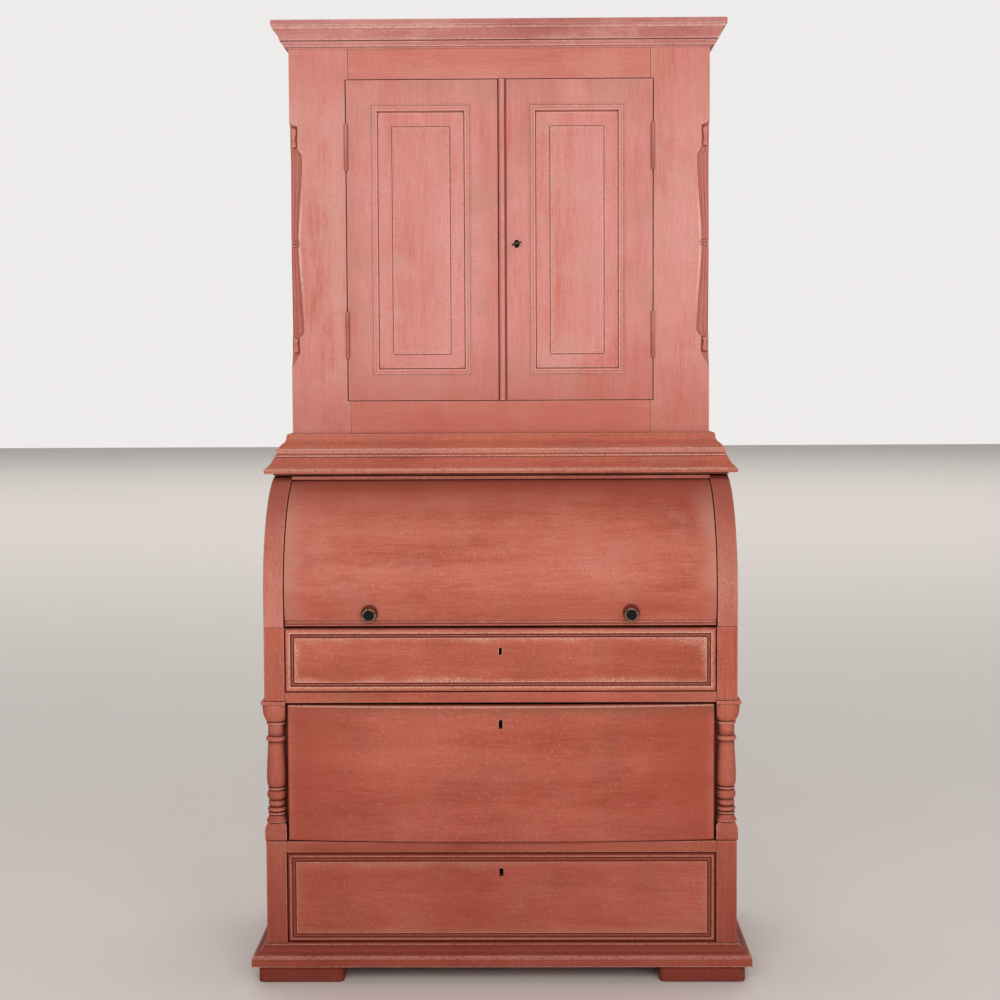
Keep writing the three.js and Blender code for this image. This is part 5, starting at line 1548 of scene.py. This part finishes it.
@dataclass
class CupboardDoor:
    """One door: its frame with a moulded opening, its fielded panel and its hinges."""

    side: Side
    stiles: Pair
    rails: Pair = (62.5, 60.6)
    moulding: tuple[Pair, ...] = (
        (-9.0, 0.0), (-3.4, 0.0), (-3.0, 0.3), (-2.6, 1.3), (-1.6, 1.4), (-1.0, 0.5), (0.4, 0.4),
        (2.0, 1.3), (3.6, 2.0), (5.2, 2.1), (6.4, 1.6), (7.0, 0.9), (7.8, 0.6), (8.6, 0.9), (9.0, 1.8),
        (10.5, 8.8), (11.0, 9.7),
    )
    hinge_reach: float = 1.1
    tongue: float = 7.3
    panel_sunk: float = 3.5
    field_border: float = 32.0
    dark_line: Pair = (-3.6, -1.2)
    deep_band: Pair = (0.3, 7.0)
    rubbed_crest: Pair = (6.8, 8.8)
    rubbed_border: Pair = (7.5, 9.4)
    incised_line: Pair = (38.0, 40.0)
    rubbed_field: Pair = (46.0, 46.6)
    keyhole_centre: Pair = (39.0, 38.0)
    keyhole_radii: Pair = (7.0, 10.0)

    def node(self, part: str) -> str:
        """Name of one of the door's nodes."""
        return f"{self.side.word}_door_{part}"

    def opening(self) -> tuple[Pair, Pair]:
        """Span across and height of the opening in the frame."""
        (x0, x1), _, (z0, z1) = node_size(self.node("frame"))
        return (x0 + self.stiles[0], x1 - self.stiles[1]), (z0 + self.rails[0], z1 - self.rails[1])

    def frame_form(self) -> Form:
        """The door's frame as one ring with softened edges and a moulded opening.

        Returns:
            The frame's form.
        """
        (x0, x1), (face, back), height = node_size(self.node("frame"))
        across = (x0 - self.hinge_reach, x1) if self.side is Side.LEFT else (x0, x1 + self.hinge_reach)
        edge = [(0.8, back), (0.0, back - 0.8), (0.0, face + 1.3), (0.4, face + 0.4), (1.3, face)]
        steps = [(inset, face + sunk) for inset, sunk in self.moulding]
        inner = inset_loops(*self.opening(), [*steps, (self.moulding[-1][0], back)])
        return Form().plates([*inset_loops(across, height, edge), *inner], wrap=True)

    def panel_form(self) -> Form:
        """The fielded panel: border, step, incised line and centre field.

        Returns:
            The panel's form.
        """
        across, (face, back), height = node_size(self.node("panel"))
        border, tongue, edge = face + self.panel_sunk, self.tongue, self.tongue + self.field_border
        steps = [(tongue, back), (tongue, border + 7), (0, border + 7), (0, border + 1.2)]
        steps += [(tongue, border + 1.1), (tongue, border), (tongue + 0.3, border - 1.0)]
        steps += [(tongue + 1.8, border - 1.1), (tongue + 2.4, border)]
        steps += [(edge - 1.6, border), (edge - 1.2, border + 1.2), (edge + 0.2, border + 1.3)]
        steps += [(edge + 0.6, face + 1.2), (edge + 1.2, face + 0.5), (edge + 4.6, face + 0.3)]
        steps += [(edge + 5.2, face + 1.0), (edge + 6.2, face + 1.1)]
        steps += [(edge + 7.0, face + 0.2), (edge + 8.0, face)]
        return Form().plates(inset_loops(across, height, steps))

    def rail_tone(self, places: np.ndarray) -> np.ndarray:
        """Slightly deeper paint inside the moulding, a dark line round it and a rubbed crest.

        Args:
            places: Points in a form's millimetres.

        Returns:
            The tone of each point.
        """
        behind = places[:, 1] - node_size(self.node("frame"))[1][0]
        inset = inset_of(places, *self.opening())
        moulded = between(inset, *self.deep_band) & (behind < 6)
        crest = between(inset, *self.rubbed_crest) & (behind < 1.5)
        return tones(moulded * 0.25, between(inset, *self.dark_line) * 0.26, crest * 0.3)

    def panel_tone(self, places: np.ndarray) -> np.ndarray:
        """Rubbed lines round the panel's border and its field.

        Args:
            places: Points in a form's millimetres.

        Returns:
            The tone of each point.
        """
        across, (face, _), height = node_size(self.node("panel"))
        inset, shown = inset_of(places, across, height), places[:, 1] < face + 3
        line = shown & between(inset, *self.incised_line)
        pale = between(inset, *self.rubbed_border) * 0.5 + between(inset, *self.rubbed_field) * 0.4
        return tones(line * 0.2, line * 0.15, shown * pale)

    def keyhole(self) -> Form:
        """Oval hole for the key.

        Returns:
            The cutter's form.
        """
        face, back = node_size("right_door_frame")[1]
        across, up = self.keyhole_centre
        outline = oval((across, node_size("cabinet_lock")[2][0] + up), self.keyhole_radii, 32)
        return Form().run(outline, (face - 5, back + 5), Axis.DEPTH)

    def dress(self) -> None:
        """Place the door's pieces."""
        cuts = [self.keyhole()] if self.side is Side.RIGHT else []
        frame_form, panel_form = self.frame_form(), self.panel_form()
        pieces = [
            Piece(self.node("frame"), PINK_FRAME, frame_form, Axis.UP, 0, cuts, 30.0, self.rail_tone),
            Piece(self.node("panel"), PINK_PANEL, panel_form, Axis.UP, 0, (), 30.0, self.panel_tone),
        ]
        for level in ("upper", "lower"):
            leaves = [f"{level}_{self.side.word}_hinge_{leaf}_leaf" for leaf in ("pin", "door")]
            pieces += [board(leaf, HINGE_PAINT, Axis.UP, 0.4) for leaf in leaves]
        place_all(f"{self.side.word} door", pieces)


@dataclass
class MeetingEdge:
    """The bead where the doors meet, with the lock and the key."""

    section: tuple[Pair, ...] = (
        (0, 1.8), (0.5, 0.8), (1.6, 0.2), (3.2, 0), (5.0, 0), (10.2, 0), (11.6, 0.5), (12.7, 1.6),
        (13.2, 3.2), (13.4, 5.0), (14.0, 5.6),
    )
    strip_depth: float = 5.7
    strip_from: float = 13.1
    round_to: float = 3.5

    def bead_form(self) -> Form:
        """A rounded bead with a quirk at its right edge.

        Returns:
            The bead's form.
        """
        (x0, x1), (face, back), height = node_size("meeting_bead")
        outline = [(x0, back), *((x0 + x, face + d) for x, d in self.section)]
        return Form().run([*outline, (x1, face + self.strip_depth), (x1, back)], height, Axis.UP)

    def quirk_tone(self, places: np.ndarray) -> np.ndarray:
        """Dark red glazing in the sunk strip beside the bead, and painted shade on its rounded side.

        Args:
            places: Points in a form's millimetres.

        Returns:
            The tone of each point.
        """
        along = places[:, 0] - node_size("meeting_bead")[0][0]
        # painted shade on the bead's rounded side
        sunk, shaded_round_side = along > self.strip_from, along < self.round_to
        return tones(sunk | shaded_round_side, np.maximum(sunk * 0.9, shaded_round_side * 0.25), 0)

    def dress(self) -> None:
        """Place the bead, the lock and the key."""
        bead = Piece("meeting_bead", PINK_FRAME, self.bead_form(), Axis.UP, 0, (), 36.0, self.quirk_tone)
        lock, key = board("cabinet_lock", IRON, Axis.UP, 0.6), board("cabinet_key", IRON, Axis.DEPTH, 0.5)
        place_all("meeting edge", [bead, lock, key])


# Studio


@dataclass
class Studio:
    """Floor, light and the camera at the photograph's angle."""

    camera_place: Point = (0.0534, -4.479, 1.3583)
    focal_px: float = 1923.5
    picture_px: float = 1000.0
    sensor: float = 36.0
    yaw: float = -0.01247
    pitch: float = 0.06739
    roll: float = -0.00471
    warm: Point = (1.0, 0.97, 0.94)
    fill: tuple[Colour, float] = ((1.0, 0.985, 0.97, 1.0), 0.24)
    backdrop: tuple[Colour, float] = ((0.86, 0.84, 0.83, 1.0), 1.0)
    floor_reach: float = 30.0

    def link(self, name: str, data: bpy.types.ID) -> bpy.types.Object:
        """Put data in the scene as an object.

        Args:
            name: The object's name.
            data: Its mesh, light or camera.

        Returns:
            The object.
        """
        made = bpy.data.objects.new(name, data)
        bpy.context.scene.collection.objects.link(made)
        return made

    def camera(self) -> None:
        """Set the camera where the photograph was taken from."""
        data = bpy.data.cameras.new("camera")
        data.sensor_width = self.sensor
        data.lens = self.focal_px / self.picture_px * self.sensor
        data.clip_end = 200.0
        cos_p, sin_p = math.cos(self.pitch), math.sin(self.pitch)
        cos_y, sin_y = math.cos(self.yaw), math.sin(self.yaw)
        cos_r, sin_r = math.cos(self.roll), math.sin(self.roll)
        ahead = Vector((cos_p * sin_y, cos_p * cos_y, -sin_p))
        right = Vector((cos_y, -sin_y, 0.0))
        up = Vector((sin_p * sin_y, sin_p * cos_y, cos_p))
        turn = Matrix((right * cos_r + up * sin_r, up * cos_r - right * sin_r, -ahead)).transposed()
        made = self.link("camera", data)
        made.matrix_world = Matrix.Translation(self.camera_place) @ turn.to_4x4()
        bpy.context.scene.camera = made

    def lamp(self, name: str, place: Point, target: Point, size: Pair, power: float) -> None:
        """Hang a soft light that faces a point.

        Args:
            name: The light's name.
            place: Where it hangs.
            target: The point that it faces.
            size: Its width and height.
            power: Its power in watts.
        """
        data = bpy.data.lights.new(name, "AREA")
        data.shape, data.energy, data.color = "RECTANGLE", power, self.warm
        data.size, data.size_y = size
        made = self.link(name, data)
        made.location = place
        made.rotation_euler = (Vector(target) - Vector(place)).to_track_quat("-Z", "Y").to_euler()

    def world(self) -> None:
        """Light from all round, with a plain pale background."""
        world = bpy.data.worlds.new("studio")
        bpy.context.scene.world = world
        world.use_nodes = True
        graph = Graph(world.node_tree)
        rays = graph.node("LightPath").outputs
        seen = graph.math("MAXIMUM", rays["Is Camera Ray"], rays["Is Glossy Ray"])
        seen = graph.math("MAXIMUM", seen, rays["Is Transmission Ray"])
        fill, pale = (
            graph.node("Background", {"Color": colour, "Strength": strength}).outputs[0]
            for colour, strength in (self.fill, self.backdrop)
        )
        mixed = graph.node("MixShader", {0: seen, 1: fill, 2: pale})
        graph.node("OutputWorld", {"Surface": mixed.outputs[0]})

    def floor(self) -> None:
        """Lay the pale floor."""
        mesh = bpy.data.meshes.new("studio_floor")
        r = self.floor_reach
        mesh.from_pydata([(-r, -r, 0), (r, -r, 0), (r, r, 0), (-r, r, 0)], [], [[0, 1, 2, 3]])
        mesh.materials.append(FLOOR.material())
        self.link("studio_floor", mesh)

    def build(self) -> None:
        """Set up the studio."""
        bpy.context.scene.view_settings.view_transform = "Standard"
        self.camera()
        self.world()
        self.floor()
        self.lamp("key_light", (-0.8, -4.0, 2.2), (0, 0, 1.4), (2.2, 1.8), 71.0)
        self.lamp("fill_light", (1.5, -3.9, 1.9), (0, 0, 1.3), (1.8, 2.0), 57.0)
        self.lamp("top_light", (0.0, 0.4, 4.2), (0, 0.1, 1.5), (2.4, 1.6), 12.0)
        self.lamp("floor_light", (0.0, 14.0, 9.0), (0, 14.0, 0.0), (30.0, 18.0), 1500.0)
        log.info("studio: camera, floor and four lights")


def main() -> None:
    """Build the bookcase from the floor up, then the studio round it."""
    logging.basicConfig(level=logging.INFO, format="%(name)s: %(message)s")
    BureauCase().dress()
    Mouldings().dress()
    TurnedColumn().dress()
    bottom_drawer = FlatDrawer(
        "bottom_drawer", key_drop=34.0, margin=8.8, band=10.8, bead=5.6, paint=LOWER_DRAWER_PAINT,
        rubbed=0.36, edge_shade=0.9, edge_reach=4.0, key=(5.2, 9.6, 18.5),
    )
    bottom_drawer.dress()
    BowedDrawer().dress()
    FlatDrawer("top_drawer", key_drop=42.0).dress()
    CylinderFall().dress()
    place_all("desk interior", [Piece("writing_bed", PINE, arris=1.5), box("pigeonhole_case", 0.8)])
    CupboardCase().dress()
    CupboardDoor(Side.LEFT, stiles=(60.5, 67.1)).dress()
    CupboardDoor(Side.RIGHT, stiles=(74.6, 67.4)).dress()
    MeetingEdge().dress()
    Studio().build()


if __name__ == "__main__":
    main()
